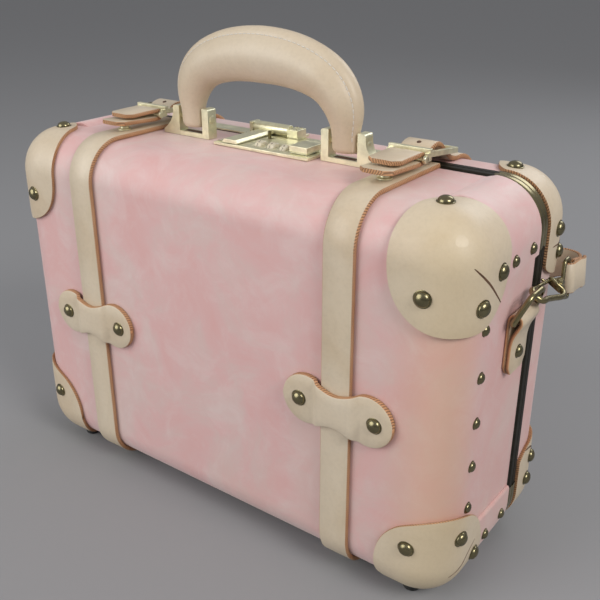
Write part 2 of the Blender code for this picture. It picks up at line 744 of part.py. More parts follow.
def hook_axes(sign):
    """Origin at the hook's front bend, u back along the hook, w across its loop."""
    origin = Vector((sign * HOOK_AT.x, HOOK_AT.y, HOOK_AT.z))
    u = Vector((0, math.cos(HOOK_DIP), -math.sin(HOOK_DIP)))
    up = Vector((0, math.sin(HOOK_DIP), math.cos(HOOK_DIP)))
    w = up * math.cos(HOOK_ROLL) + Vector((sign, 0, 0)) * math.sin(HOOK_ROLL)
    return origin, u, w, up


def on_hook(sign, u_mm, w_mm, upright=False):
    origin, u, w, up = hook_axes(sign)
    return origin + u * u_mm * MM + (up if upright else w) * w_mm * MM


def hook_block(sign, u_range, half_w, half_t):
    """Square-cut block across the open end of the hook."""
    _, u, w, _ = hook_axes(sign)
    n = u.cross(w)
    rings = []
    for u_mm in u_range:
        centre = on_hook(sign, u_mm, 0)
        rings.append([centre + w * a * half_w + n * b * half_t
                      for a, b in ((-1, -1), (1, -1), (1, 1), (-1, 1))])
    return loft(rings)


def round_bar(start, end, radius, steps=14):
    """Cylinder between two points."""
    along = (end - start).normalized()
    side = along.orthogonal().normalized()
    other = along.cross(side)
    rings = []
    for centre in (start, end):
        rings.append([centre + (side * math.cos(2 * math.pi * i / steps)
                                + other * math.sin(2 * math.pi * i / steps)) * radius
                      for i in range(steps)])
    return loft(rings)


def hook_path(sign):
    """Wire of the hook: along the closed side, round the bend, to the nose."""
    bend = HOOK_BEND / MM
    flat = [(27.5, -bend), (20, -bend), (10, -bend), (0, -bend)]
    flat += [(a, b) for a, b in arc((0, 0), bend, 260, 100, 10)]
    flat += [(0, bend), (8.6, bend)]
    return [on_hook(sign, a, b) for a, b in flat]


def build_side(side, sign):
    chape = link(f"side_chape_{side}", prism(chape_outline(sign), *CHAPE_Y, "Y"), TAN)
    eye = disc((sign * RING_X, RING_Z), 2.5 * MM, CHAPE_Y[0] - 5 * MM, CHAPE_Y[1] + 5 * MM, "Y", 18)
    boolean(chape, "DIFFERENCE", eye, "eye")
    ring_pivot, _ = ring_frame(sign)
    ring_pivot.y = sum(CHAPE_Y) / 2
    link(f"side_ring_{side}", wire(ring_path(sign), RING_WIRE, True), BRASS, ring_pivot)

    origin = hook_axes(sign)[0]
    hook = link(f"snap_hook_{side}", wire(hook_path(sign), HOOK_WIRE, False), BRASS, origin)
    boolean(hook, "UNION", hook_block(sign, (26.4, 30), 6.4 * MM, 2.6 * MM), "block")
    socket = round_bar(on_hook(sign, 29, 0), on_hook(sign, 35.5, 0), 3.3 * MM, 18)
    boolean(hook, "UNION", socket, "socket")
    boolean(hook, "DIFFERENCE", round_bar(on_hook(sign, 31, 0), on_hook(sign, 40, 0), 1.6 * MM),
            "swivel_bore")

    gate_low, gate_high = on_hook(sign, 9.1, HOOK_BEND / MM), on_hook(sign, 26, HOOK_BEND / MM)
    link(f"hook_gate_{side}", round_bar(gate_low, gate_high, 1.3 * MM, 12), BRASS, gate_high)
    build_swivel(side, sign)


def build_swivel(side, sign):
    """Loop that carries the strap, turning in the hook's socket."""
    reach = 12.5
    apex = EYE_U / MM - 10
    flat = rounded_loop(((EYE_U / MM, -reach), (EYE_U / MM, reach), (apex + 3, reach - 1),
                         (apex, 0), (apex + 3, 1 - reach)), (1.5, 1.5, 3, 3, 3), 4)
    path = [on_hook(sign, p.x, p.y, upright=True) for p in flat]
    eye = link(f"swivel_eye_{side}", wire(path, EYE_WIRE, True), BRASS, on_hook(sign, apex, 0))
    post = round_bar(on_hook(sign, 31.4, 0), on_hook(sign, apex + 0.6, 0), EYE_WIRE)
    boolean(eye, "UNION", post, "post")


# ------------------------------------------------------------------ shoulder strap

def strap_run():
    """Right half's middle line: the folded end round the swivel bar, then down the back."""
    u = hook_axes(1)[1]
    bar = on_hook(1, EYE_U / MM, 0)
    out = Vector((1, 0, 0))
    turn = EYE_WIRE + 0.45 * MM + SHOULDER_T / 2
    fold = [bar - out * (1.75 * MM) + u * 15 * MM, bar - out * (2.4 * MM) + u * 7 * MM]
    fold += [bar + (u * -math.cos(a) + out * math.sin(a)) * turn
             for a in (math.radians(d) for d in (-90, -60, -30, 0, 30, 60, 90))]
    fold += [bar + out * (2.2 * MM) + u * 7 * MM, bar + out * (1.9 * MM) + u * 13 * MM]
    bend = ((190, 149.5, 174.6), (185.5, 155.5, 171.8), (174, 160.5, 168.2), (160, 164, 162.5),
            (146, 166, 152.5), (134, 167, 138), (122, 167.5, 119), (108, 168, 97), (91, 168, 75),
            (70, 168, 55.5), (47, 168, 41.5), (23, 168, 33.5), (0, 168, 31))
    return fold, [Vector(p) * MM for p in bend]


def shoulder_strap():
    """One strap from hook to hook. It leaves each hook on edge and hangs flat in between."""
    fold, bend = strap_run()
    path = smooth(fold[:2], 2) + fold[2:-1] + smooth([fold[-1]] + bend, 3)
    route = path + [Vector((-p.x, p.y, p.z)) for p in path[-2::-1]]
    upright = hook_axes(1)[3]
    twist_start = len(fold) + 8
    twist_steps = 16
    last = len(route) - 1

    def across(i):
        """On edge at both ends, turning flat towards the middle."""
        t = min(max((min(i, last - i) - twist_start) / twist_steps, 0), 1)
        return upright.lerp(Vector((0, -1, 0)), t * t * (3 - 2 * t))

    return ribbon(route, across, lambda i: SHOULDER_W, SHOULDER_T)


# ------------------------------------------------------------------ the whole case

build_shells()
build_caps()
build_feet()
build_straps()
build_handle()
build_lock()
build_hasp()
build_hinge()
for side_name, side_sign in sides():
    build_side(side_name, side_sign)
link("shoulder_strap", shoulder_strap(), TAN)
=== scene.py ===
"""Looks of the vintage style suitcase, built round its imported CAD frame.

Shapes are written in the case's own millimetres: X = 0 in the middle, Y = 0 on the front
face, Z = 0 on the underside of the shell. make() turns them into the row frame's metres.
"""
import math

import bmesh
import bpy
from mathutils import Matrix, Vector


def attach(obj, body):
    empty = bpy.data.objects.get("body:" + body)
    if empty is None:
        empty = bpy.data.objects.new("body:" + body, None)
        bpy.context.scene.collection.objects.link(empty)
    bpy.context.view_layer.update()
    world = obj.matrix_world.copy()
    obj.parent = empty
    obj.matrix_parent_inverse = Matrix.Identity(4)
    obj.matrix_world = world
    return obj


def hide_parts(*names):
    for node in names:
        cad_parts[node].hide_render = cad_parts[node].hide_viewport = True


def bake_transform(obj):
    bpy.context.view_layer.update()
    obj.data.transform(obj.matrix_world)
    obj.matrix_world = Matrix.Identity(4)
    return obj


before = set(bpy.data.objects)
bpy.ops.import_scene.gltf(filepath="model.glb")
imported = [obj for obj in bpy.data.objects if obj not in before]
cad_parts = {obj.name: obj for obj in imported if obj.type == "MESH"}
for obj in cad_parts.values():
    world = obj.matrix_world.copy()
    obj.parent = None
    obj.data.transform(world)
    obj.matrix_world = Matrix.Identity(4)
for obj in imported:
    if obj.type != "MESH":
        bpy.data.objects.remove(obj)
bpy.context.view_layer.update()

MM = 0.001
CASE_AXES = Vector((0, -85.7, 7.0))

# The case
WIDTH, HEIGHT, DEPTH = 360.0, 245.0, 142.0
CORNER, FRONT_FILLET, REAR_FILLET = 28.0, 26.0, 24.0
RIM, LID_RIM = 91.7, 104.3
PART = 98.0
GAP = 0.3

# Leather trim
STRAP_X, STRAP_W, STRAP_T = 105.7, 22.0, 3.0
WRAP_W, WRAP_SHIFT = STRAP_W - 1.4, 0.7
CAP_T = 2.6
# Centre X, its distance from the front or rear face and from the top or bottom, radius, power
CAP_TOP, CAP_LOW = (175.4, 7.0, 21.5, 41.2, 2.5), (174.5, 9.0, 22.4, 41.2, 2.05)
BAND_T = 2.3
KEEPER_Z, KEEPER_HALF, KEEPER_T = 118.7, 38.5, 3.3
RIVET_BIG, RIVET_SMALL = 4.7, 3.4
SIDE_X, FOOT_X = 184, 151.5

# Top hardware
HANDLE_Y, PIN_Z, LEG_X = 68.0, HEIGHT + 13.2, 62.75
PLATE_TOP = HEIGHT + 2.3
DIAL_XS, DIAL_Y, DIAL_R = (-4.5, 5.7, 15.9), 68.5, 5.4
DIAL_Z = PLATE_TOP + 2.8 - 5.5
HASP_Y, HASP_Z = 98.8, HEIGHT + 5.6
TAB_Y, TAB_Z, TAB_T = 65.5, HEIGHT + 11.3, 2.6
SNAP_Y = 42.0

# Side hardware
RING_X, RING_Z, RING_LEAN = 185.3, 175.0, math.radians(21)
HOOK_AT = Vector((189.2, 79.2, 185.3))
HOOK_DIP, HOOK_ROLL = math.radians(6.5), math.radians(-60)
HOOK_BEND = 4.6
EYE_U, EYE_HALF = 50.0, 12.5
EYE_ROLL = math.radians(7)
WIRE, EYE_WIRE = 1.85, 1.25
CHAPE_Y, CHAPE_W, CHAPE_T = 69.7, 24.6, 2.0
SHOULDER_W, SHOULDER_T, FOLD_T = 19, 2.4, 2.3

SIDES = (("left", -1), ("right", 1))


# ------------------------------------------------------------------ camera, light, floor

def aim(obj, azimuth, elevation):
    """Points obj along a bearing: azimuth 0 looks along +Y, elevation above the horizon."""
    a, e = math.radians(azimuth), math.radians(elevation)
    back = Vector((math.sin(a) * math.cos(e), -math.cos(a) * math.cos(e), math.sin(e)))
    obj.rotation_mode = "QUATERNION"
    obj.rotation_quaternion = (-back).to_track_quat("-Z", "Y")
    return back


def add_camera():
    camera = bpy.data.objects.new("camera", bpy.data.cameras.new("camera"))
    bpy.context.scene.collection.objects.link(camera)
    aim(camera, 36.19, 24.24)
    camera.location = (0.3341, -0.4366, 0.3840)
    camera.data.lens = 49.5
    camera.data.sensor_width = 36
    camera.data.clip_start = 0.01
    bpy.context.scene.camera = camera


def add_light(name, azimuth, elevation, distance, size, power, tint):
    data = bpy.data.lights.new(name, "AREA")
    data.shape = "DISK"
    data.size = size
    data.energy = power
    data.color = tint
    light = bpy.data.objects.new(name, data)
    bpy.context.scene.collection.objects.link(light)
    light.location = Vector((0, 0, 0.12)) + aim(light, azimuth, elevation) * distance


def add_surroundings():
    scene = bpy.context.scene
    scene.view_settings.view_transform = "Standard"
    world = bpy.data.worlds.new("studio")
    scene.world = world
    world.use_nodes = True
    tree = world.node_tree
    shade = tree.nodes["Background"]
    coord = tree.nodes.new("ShaderNodeTexCoord")
    height = tree.nodes.new("ShaderNodeSeparateXYZ")
    ramp = tree.nodes.new("ShaderNodeValToRGB")
    ramp.color_ramp.elements[0].position = 0.5
    ramp.color_ramp.elements[0].color = (0.22, 0.22, 0.225, 1)
    ramp.color_ramp.elements[1].position = 0.8
    ramp.color_ramp.elements[1].color = (0.42, 0.42, 0.43, 1)
    lift = tree.nodes.new("ShaderNodeMapRange")
    lift.inputs["From Min"].default_value = -1
    tree.links.new(coord.outputs["Generated"], height.inputs[0])
    tree.links.new(height.outputs["Z"], lift.inputs["Value"])
    tree.links.new(lift.outputs[0], ramp.inputs[0])
    tree.links.new(ramp.outputs[0], shade.inputs["Color"])
    add_light("key", 75, 38, 1.6, 0.7, 12.6, (1, 0.975, 0.95))
    add_light("front_fill", -32, 22, 1.8, 1.6, 19.2, (1, 0.99, 0.98))
    add_light("rim", 170, 35, 1.6, 0.8, 4.5, (0.95, 0.97, 1))

    bm = bmesh.new()
    bmesh.ops.create_circle(bm, cap_ends=True, segments=64, radius=12)
    mesh = bpy.data.meshes.new("floor")
    bm.to_mesh(mesh)
    bm.free()
    floor = bpy.data.objects.new("floor", mesh)
    scene.collection.objects.link(floor)
    mesh.materials.append(plain("floor_pale", (0.28, 0.282, 0.29), 0.9))


# ------------------------------------------------------------------ materials

class Look:
    """A material being wired up."""

    def __init__(self, name, colour, roughness, metallic=0.0):
        self.material = bpy.data.materials.new(name)
        self.material.use_nodes = True
        self.tree = self.material.node_tree
        self.shader = self.tree.nodes["Principled BSDF"]
        self.shader.inputs["Base Color"].default_value = (*colour, 1)
        self.shader.inputs["Roughness"].default_value = roughness
        self.shader.inputs["Metallic"].default_value = metallic
        self.coord = self.tree.nodes.new("ShaderNodeTexCoord").outputs["Object"]

    def node(self, kind, values=(), **settings):
        node = self.tree.nodes.new(kind)
        for key, value in settings.items():
            setattr(node, key, value)
        for key, value in dict(values).items():
            self.feed(node, key, value)
        return node

    def feed(self, node, key, value):
        """Links a socket to an input, or sets the input to a plain value."""
        if isinstance(value, bpy.types.NodeSocket):
            self.tree.links.new(value, node.inputs[key])
        else:
            node.inputs[key].default_value = value

    def noise(self, scale, detail=4.0, roughness=0.55, distortion=0.0, stretch=None):
        coord = self.coord
        if stretch:
            coord = self.node("ShaderNodeMapping", {"Vector": coord, "Scale": stretch}).outputs[0]
        return self.node("ShaderNodeTexNoise", {
            "Vector": coord, "Scale": scale, "Detail": detail, "Roughness": roughness,
            "Distortion": distortion}).outputs["Fac"]

    def ramp(self, value, stops):
        node = self.node("ShaderNodeValToRGB", {"Fac": value})
        ramp = node.color_ramp
        while len(ramp.elements) < len(stops):
            ramp.elements.new(0.5)
        for element, (position, colour) in zip(ramp.elements, stops):
            element.position = position
            element.color = (*colour, 1) if hasattr(colour, "__len__") else (colour,) * 3 + (1,)
        return node.outputs["Color"]

    def mix(self, low, high, share, blend="MIX"):
        node = self.node("ShaderNodeMix", data_type="RGBA", blend_type=blend)
        self.feed(node, 0, share)
        for key, value in ((6, low), (7, high)):
            self.feed(node, key, value if isinstance(value, bpy.types.NodeSocket) else (*value, 1))
        return node.outputs[2]

    def math(self, operation, a, b=0.0):
        node = self.node("ShaderNodeMath", operation=operation)
        self.feed(node, 0, a)
        self.feed(node, 1, b)
        return node.outputs[0]

    def attribute(self, name):
        return self.node("ShaderNodeAttribute", attribute_name=name).outputs["Fac"]

    def patina(self, colour, tone, strength):
        """Painted warm light: a warmer tone on the right front edge, where the glow of a warm lamp is
        painted into the colour.
        """
        x, y, _ = self.node("ShaderNodeSeparateXYZ", {"Vector": self.coord}).outputs
        rise = self.smoothstep(x, 0.128, 0.172)
        fall = self.smoothstep(y, -0.052, -0.080)
        drift = self.math("ADD", self.math("MULTIPLY", self.noise(14, 3), 0.8), 0.55)
        share = self.math("MULTIPLY", self.math("MULTIPLY", rise, fall), drift)
        return self.mix(colour, tone, self.math("MULTIPLY", share, strength))

    def smoothstep(self, value, low, high):
        return self.node("ShaderNodeMapRange", {"Value": value, "From Min": low, "From Max": high},
                         interpolation_type="SMOOTHSTEP").outputs[0]

    def colour(self, socket):
        self.tree.links.new(socket, self.shader.inputs["Base Color"])

    def rough(self, value, low, high):
        node = self.node("ShaderNodeMapRange", {"Value": value, "To Min": low, "To Max": high})
        self.tree.links.new(node.outputs[0], self.shader.inputs["Roughness"])

    def bump(self, height, strength, distance):
        bump = self.node("ShaderNodeBump", {
            "Height": height, "Strength": strength, "Distance": distance})
        previous = self.shader.inputs["Normal"].links
        if previous:
            self.tree.links.new(previous[0].from_socket, bump.inputs["Normal"])
        self.tree.links.new(bump.outputs[0], self.shader.inputs["Normal"])


def plain(name, colour, roughness, metallic=0.0):
    return Look(name, colour, roughness, metallic).material


def leatherette():
    """Pink suede-look cover with soft creamy clouds and a very fine grain."""
    look = Look("pink_leatherette", (0.68, 0.44, 0.42), 0.5)
    clouds = look.noise(17, 8, 0.66, 0.7)
    base = look.ramp(clouds, ((0.34, (0.690, 0.395, 0.375)), (0.47, (0.690, 0.430, 0.413)),
                              (0.57, (0.665, 0.465, 0.437)), (0.70, (0.655, 0.498, 0.465))))
    wisps = look.ramp(look.noise(34, 10, 0.72, 0.8), ((0.48, 0.0), (0.70, 1.0)))
    wispy = look.mix(base, (0.74, 0.61, 0.58), look.math("MULTIPLY", wisps, 0.45))
    blush = look.ramp(look.noise(6, 3, 0.5, 0.4, (1.4, 1, 0.7)), ((0.5, 0.0), (0.75, 1.0)))
    warm = look.mix(wispy, (0.66, 0.39, 0.32), look.math("MULTIPLY", blush, 0.35))
    # painted warm light: warmer tone on the right front edge
    look.colour(look.patina(warm, (0.68, 0.42, 0.25), 0.55))
    look.rough(look.noise(120, 4), 0.42, 0.6)
    look.bump(look.noise(1500, 3, 0.6), 0.25, 0.0002)
    look.bump(look.noise(260, 5, 0.6), 0.12, 0.0004)
    look.shader.inputs["Sheen Weight"].default_value = 0.25
    look.shader.inputs["Sheen Roughness"].default_value = 0.5
    return look.material


def leather():
    """Smooth cream cowhide with faint pores, handling marks in its tone, and a painted warm light on
    the right front edge.
    """
    look = Look("cream_leather", (0.55, 0.44, 0.31), 0.48)
    tone = look.ramp(look.noise(16, 6, 0.6, 0.5), (
        (0.30, (0.570, 0.450, 0.305)), (0.50, (0.625, 0.520, 0.380)), (0.72, (0.665, 0.570, 0.435))))
    pores = look.ramp(look.noise(420, 5, 0.65), ((0.30, 0.94), (0.55, 1.0)))
    # painted warm light on the right front edge, over the real tone and pores
    look.colour(look.patina(look.mix(tone, pores, 1.0, "MULTIPLY"), (0.60, 0.47, 0.25), 0.35))
    look.rough(look.noise(70, 4), 0.38, 0.56)
    cells = look.node("ShaderNodeTexVoronoi", {"Vector": look.coord, "Scale": 700.0})
    look.bump(cells.outputs["Distance"], 0.10, 0.0003)
    look.bump(look.noise(90, 6, 0.6), 0.10, 0.0006)
    look.shader.inputs["Coat Weight"].default_value = 0.12
    look.shader.inputs["Coat Roughness"].default_value = 0.35
    return look.material


def cut_edge():
    """Tan cut edge, burnished in slanting ribs like a laid cord."""
    look = Look("tan_edge", (0.52, 0.27, 0.14), 0.55)
    slant = look.math("MULTIPLY", look.attribute("rise"), 1.9)
    phase = look.math("ADD", look.math("MULTIPLY", look.attribute("along"), 3.6), slant)
    ribs = look.math("MULTIPLY_ADD", look.math("SINE", phase), 0.5)
    look.tree.nodes[-1].inputs[2].default_value = 0.5
    tone = look.ramp(look.noise(45, 5), ((0.3, (0.52, 0.255, 0.115)), (0.7, (0.66, 0.37, 0.19))))
    shade = look.ramp(ribs, ((0.05, 0.42), (0.6, 1.0)))
    look.colour(look.mix(tone, shade, 1.0, "MULTIPLY"))
    look.bump(ribs, 0.9, 0.0005)
    look.rough(look.noise(200, 3), 0.42, 0.65)
    return look.material


def metal(name, colour, low, high, metallic=1.0, scratch=0.05):
    """Plated metal with worn patches and hair scratches."""
    look = Look(name, colour, 0.2, metallic)
    tarnish = look.ramp(look.noise(130, 5, 0.6), (
        (0.35, tuple(c * 0.80 for c in colour)), (0.6, colour)))
    look.colour(tarnish)
    look.rough(look.noise(240, 5, 0.65), low, high)
    look.bump(look.noise(900, 3, 0.6, 0.0, (1, 0.15, 0.15)), scratch, 0.0001)
    return look.material


def mottled(name, colour, roughness, grain, low, high, rough=None, bump=None):
    """Material with a mottled colour. rough and bump start with the noise that drives them."""
    look = Look(name, colour, roughness)
    look.colour(look.ramp(look.noise(*grain), ((0.3, low), (0.7, high))))
    if rough:
        look.rough(look.noise(*rough[0]), *rough[1:])
    if bump:
        look.bump(look.noise(*bump[0]), *bump[1:])
    return look


def black_channel():
    """Frame rail painted nearly black: a painted dark reflection in place of the darkness its metal
    reflects; nearly matt.
    """
    look = mottled("frame_painted_dark_reflection", (0.016, 0.014, 0.010), 0.5, (150, 5), (0.010, 0.009, 0.006),
                   (0.022, 0.019, 0.013), ((240, 4), 0.40, 0.55), ((700, 3), 0.1, 0.0001))
    look.shader.inputs["Specular IOR Level"].default_value = 0.18
    return look.material


def cloth():
    """Woven lining."""
    look = Look("lining_cloth", (0.66, 0.57, 0.46), 0.9)
    weave = []
    for turn in ((1, 0, 0), (0, 0, 1)):
        wave = look.node("ShaderNodeTexWave", {"Vector": look.coord, "Scale": 260.0})
        wave.wave_type = "BANDS"
        wave.bands_direction = "X" if turn[0] else "Z"
        weave.append(wave.outputs["Fac"])
    crossed = look.math("MULTIPLY", *weave)
    tone = look.ramp(look.noise(20, 5), ((0.3, (0.60, 0.50, 0.40)), (0.7, (0.70, 0.62, 0.52))))
    look.colour(look.mix(tone, look.ramp(crossed, ((0.0, 0.8), (0.5, 1.0))), 1.0, "MULTIPLY"))
    look.bump(crossed, 0.4, 0.0004)
    return look.material


PINK, CREAM, EDGE, CLOTH = leatherette(), leather(), cut_edge(), cloth()
BRASS = metal("pale_brass", (0.83, 0.80, 0.56), 0.26, 0.40, 0.72)
ANTIQUE = metal("antique_brass", (0.25, 0.22, 0.125), 0.20, 0.32)
AGED = metal("aged_brass", (0.30, 0.255, 0.135), 0.20, 0.30)
# frame rails: painted dark reflection, nearly black
PAINTED_DARK_FRAME = black_channel()
STEEL = metal("steel", (0.6, 0.6, 0.58), 0.2, 0.35)
RUBBER = mottled("black_rubber", (0.02, 0.02, 0.02), 0.7, (300, 4), (0.012,) * 3, (0.035,) * 3,
                 bump=((800, 3), 0.2, 0.0002)).material
IVORY = mottled("ivory_dial", (0.72, 0.66, 0.50), 0.35, (300, 4), (0.66, 0.59, 0.43),
                (0.76, 0.71, 0.56), ((500, 3), 0.28, 0.42)).material
THREAD = mottled("white_thread", (0.78, 0.74, 0.68), 0.7, (1400, 3), (0.58, 0.54, 0.47),
                 (0.74, 0.70, 0.64), bump=((2500, 2), 0.3, 0.0001)).material
# dark grooves of the darts, and painted shade in screw slots, strap holes and the bracket's recess
GROOVE_AND_SHADE = mottled("dark_groove_and_painted_shade", (0.10, 0.05, 0.03), 0.8, (200, 4), (0.07, 0.035, 0.02),
                 (0.16, 0.08, 0.045)).material
INK = metal("ink", (0.09, 0.06, 0.035), 0.6, 0.75, 0.0)


# ------------------------------------------------------------------ mesh helpers

class Shape:
    """Vertices and faces in millimetres, with a material index for each face."""

    def __init__(self):
        self.verts, self.faces, self.marks, self.along, self.rise = [], [], [], [], []

    def add(self, verts, faces, mark=0, along=None, rise=None):
        base = len(self.verts)
        self.verts += [Vector(v) for v in verts]
        self.faces += [[base + i for i in f] for f in faces]
        self.marks += list(mark) if hasattr(mark, "__len__") else [mark] * len(faces)
        self.along += along or [0.0] * len(verts)
        self.rise += rise or [0.0] * len(verts)
        return self

    def rings(self, rings, cyclic=False, closed=True, caps=True, mark=0, along=None, rise=None):
        """Skin over equal rings. mark may be a list: one material for each side of a ring."""
        count = len(rings[0])
        sides = count if closed else count - 1
        marks = mark if hasattr(mark, "__len__") else [mark] * sides
        faces, order = [], []
        last = len(rings) if cyclic else len(rings) - 1
        for r in range(last):
            low, high = r * count, ((r + 1) % len(rings)) * count
            for i in range(sides):
                j = (i + 1) % count
                faces.append([low + i, low + j, high + j, high + i])
                order.append(marks[i])
        if caps and not cyclic:
            faces += [list(range(count))[::-1], [last * count + i for i in range(count)]]
            order += [max(set(marks), key=marks.count)] * 2
        verts = [p for ring in rings for p in ring]
        spread = None
        if along:
            spread = [v for a in along for v in (a if hasattr(a, "__len__") else [a] * count)]
        rises = list(rise) * len(rings) if rise else None
        return self.add(verts, faces, order, spread, rises)

    def mirrored(self):
        """The same shape with X turned over."""
        other = Shape()
        other.add([(-v.x, v.y, v.z) for v in self.verts], [f[::-1] for f in self.faces],
                  self.marks, list(self.along), list(self.rise))
        return other


def make(name, shape, materials, body=None, nodes=(), angle=38, bevel=0.0, segments=2):
    """Turns a shape into a piece that rides on a body and stands for the named CAD nodes."""
    mesh = bpy.data.meshes.new(name)
    mesh.from_pydata([(v + CASE_AXES) * MM for v in shape.verts], [], shape.faces)
    for mat in materials if hasattr(materials, "__len__") else (materials,):
        mesh.materials.append(mat)
    mesh.polygons.foreach_set("material_index", shape.marks)
    for key, values in (("along", shape.along), ("rise", shape.rise)):
        mesh.attributes.new(key, "FLOAT", "POINT").data.foreach_set("value", values)
    bm = bmesh.new()
    bm.from_mesh(mesh)
    bmesh.ops.recalc_face_normals(bm, faces=bm.faces)
    shade(bm, angle)
    bm.to_mesh(mesh)
    bm.free()
    obj = bpy.data.objects.new(name, mesh)
    bpy.context.scene.collection.objects.link(obj)
    if bevel:
        mod = obj.modifiers.new("edges", "BEVEL")
        mod.width = bevel * MM
        mod.segments = segments
        mod.limit_method = "ANGLE"
        mod.angle_limit = math.radians(35)
        mod.harden_normals = True
    if body:
        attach(obj, body)
    if nodes:
        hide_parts(*nodes)
    return obj


def shade(bm, angle):
    limit = math.radians(angle)
    for face in bm.faces:
        face.smooth = True
    for edge in bm.edges:
        if len(edge.link_faces) == 2:
            edge.smooth = edge.calc_face_angle(0) < limit


def cut(obj, cutter_shape):
    """Takes a shape out of a finished mesh for good."""
    cutter = make(obj.name + "_cutter", cutter_shape, obj.data.materials[0])
    mod = obj.modifiers.new("cut", "BOOLEAN")
    mod.operation, mod.solver, mod.object = "DIFFERENCE", "EXACT", cutter
    graph = bpy.context.evaluated_depsgraph_get()
    mesh = bpy.data.meshes.new_from_object(obj.evaluated_get(graph))
    obj.modifiers.remove(mod)
    obj.data = mesh
    bpy.data.objects.remove(cutter)
    bm = bmesh.new()
    bm.from_mesh(mesh)
    shade(bm, 38)
    bm.to_mesh(mesh)
    bm.free()


def full_turn(steps):
    """Angles of a full turn in equal steps."""
    return [2 * math.pi * i / steps for i in range(steps)]


def ease(t):
    """Soft start and stop between 0 and 1."""
    return t * t * (3 - 2 * t)


def arc(centre, radius, start, end, steps=12):
    for i in range(steps + 1):
        angle = math.radians(start + (end - start) * i / steps)
        yield centre[0] + radius * math.cos(angle), centre[1] + radius * math.sin(angle)


def smooth(points, steps=6):
    """Points on a curve through the given ones."""
    pts = [Vector(p) for p in points]
    ends = [2 * pts[0] - pts[1]] + pts + [2 * pts[-1] - pts[-2]]
    path = []
    for a, b, c, d in zip(ends, ends[1:], ends[2:], ends[3:]):
        for i in range(steps):
            t = i / steps
            path.append(0.5 * (2 * b + (c - a) * t + (2 * a - 5 * b + 4 * c - d) * t * t
                               + (3 * b - a - 3 * c + d) * t ** 3))
    return path + [pts[-1]]


def tangents(path, cyclic=False):
    last = len(path) - 1
    if cyclic:
        return [(path[(i + 1) % len(path)] - path[i - 1]).normalized() for i in range(len(path))]
    return [(path[min(i + 1, last)] - path[max(i - 1, 0)]).normalized() for i in range(last + 1)]


def lengths(path):
    total, out = 0.0, [0.0]
    for a, b in zip(path, path[1:]):
        total += (b - a).length
        out.append(total)
    return out


def tube(shape, path, radius, cyclic=False, sides=14, mark=0):
    """Round wire along a path, with domed ends when it is open."""
    tangent = tangents(path, cyclic)
    normal = tangent[0].orthogonal().normalized()
    rings = []
    radii = radius if hasattr(radius, "__len__") else [radius] * len(path)
    for point, along, r in zip(path, tangent, radii):
        normal = (normal - along * normal.dot(along)).normalized()
        other = along.cross(normal)
        rings.append([point + (normal * math.cos(a) + other * math.sin(a)) * r
                      for a in full_turn(sides)])
    if not cyclic:
        rings = dome(rings, 0)[::-1] + rings + dome(rings, -1)
        return shape.rings(rings, mark=mark)
    twist = min(range(sides), key=lambda k: (rings[-1][k] - rings[0][0]).length)
    faces = []
    base = [p for ring in rings for p in ring]
    count = len(rings)
    for r in range(count):
        shift = twist if r == count - 1 else 0
        for i in range(sides):
            low = (r * sides + (i + shift) % sides, r * sides + (i + 1 + shift) % sides)
            top = ((r + 1) % count) * sides
            faces.append([low[0], low[1], top + (i + 1) % sides, top + i])
    return shape.add(base, faces, mark)


def dome(rings, end):
    """Shrinking rings that round off one end of a tube."""
    ring = rings[end]
    centre = sum(ring, Vector()) / len(ring)
    inner = rings[1 if end == 0 else -2]
    out = (centre - sum(inner, Vector()) / len(inner)).normalized()
    radius = (ring[0] - centre).length
    caps = []
    for a in (30, 60, 82):
        c, s = math.cos(math.radians(a)), math.sin(math.radians(a))
        caps.append([centre + (p - centre) * c + out * radius * s * 0.8 for p in ring])
    return caps


def strip(shape, path, across, width, thickness, soft=0.55, ribbed=True):
    """Leather strap: cream faces, cut edges, eased corners. width may be a function."""
    h, rim = thickness / 2, thickness / 2 - soft
    rings, along_edge = [], []
    dist = lengths(path)
    tangent = tangents(path)
    section = [(-1, -rim, 0), (-1, 0, 0), (-1, rim, 0), (-1, h, soft), (0, h + 0.12, 0),
               (1, h, soft), (1, rim, 0), (1, 0, 0), (1, -rim, 0), (1, -h, soft), (0, -h, 0),
               (-1, -h, soft)]
    for i, (point, along) in enumerate(zip(path, tangent)):
        side = Vector(across(i)).normalized()
        side = (side - along * side.dot(along)).normalized()
        up = side.cross(along)
        half = (width(dist[i], dist[-1]) if callable(width) else width) / 2
        rings.append([point + side * s * (half - inset) + up * b for s, b, inset in section])
        along_edge.append([dist[i] + s * half if ribbed else 0.0 for s, _, _ in section])
    marks = [1, 1, 1, 0, 0, 1, 1, 1, 1, 0, 0, 1]
    return shape.rings(rings, mark=marks, along=along_edge, rise=[b for _, b, _ in section])


def clipped(full, cut_w, reach=3.6):
    """Width of a strap whose ends have their corners cut off."""
    def width(distance, total):
        near = min(distance, total - distance)
        return full - cut_w * max(0, 1 - near / reach)
    return width


def box(shape, x, y, z, mark=0):
    corners = [(a, b, c) for c in z for a, b in
               ((x[0], y[0]), (x[1], y[0]), (x[1], y[1]), (x[0], y[1]))]
    return shape.rings([corners[:4], corners[4:]], mark=mark)


def prism(shape, points, low, high):
    """Outline in X and Z drawn out along Y."""
    return shape.rings([[(x, y, z) for x, z in points] for y in (low, high)])


def lathe(shape, centre, axis, profile, steps=24, mark=0):
    """Turned shape: profile is (radius, height) along the axis from centre."""
    axis = Vector(axis).normalized()
    side = axis.orthogonal().normalized()
    other = axis.cross(side)
    rings = []
    for radius, height in profile:
        level = Vector(centre) + axis * height
        rings.append([level + (side * math.cos(a) + other * math.sin(a)) * radius
                      for a in full_turn(steps)])
    return shape.rings(rings, mark=mark)


def rod(shape, centre, radius, low, high, soft=0.3):
    """Bar along X through (y, z) with eased ends."""
    start = Vector((low, *centre))
    span = high - low
    profile = ((radius - soft, 0), (radius, soft), (radius, span - soft), (radius - soft, span))
    return lathe(shape, start, (1, 0, 0), profile, 20)


# ------------------------------------------------------------------ the case's surface

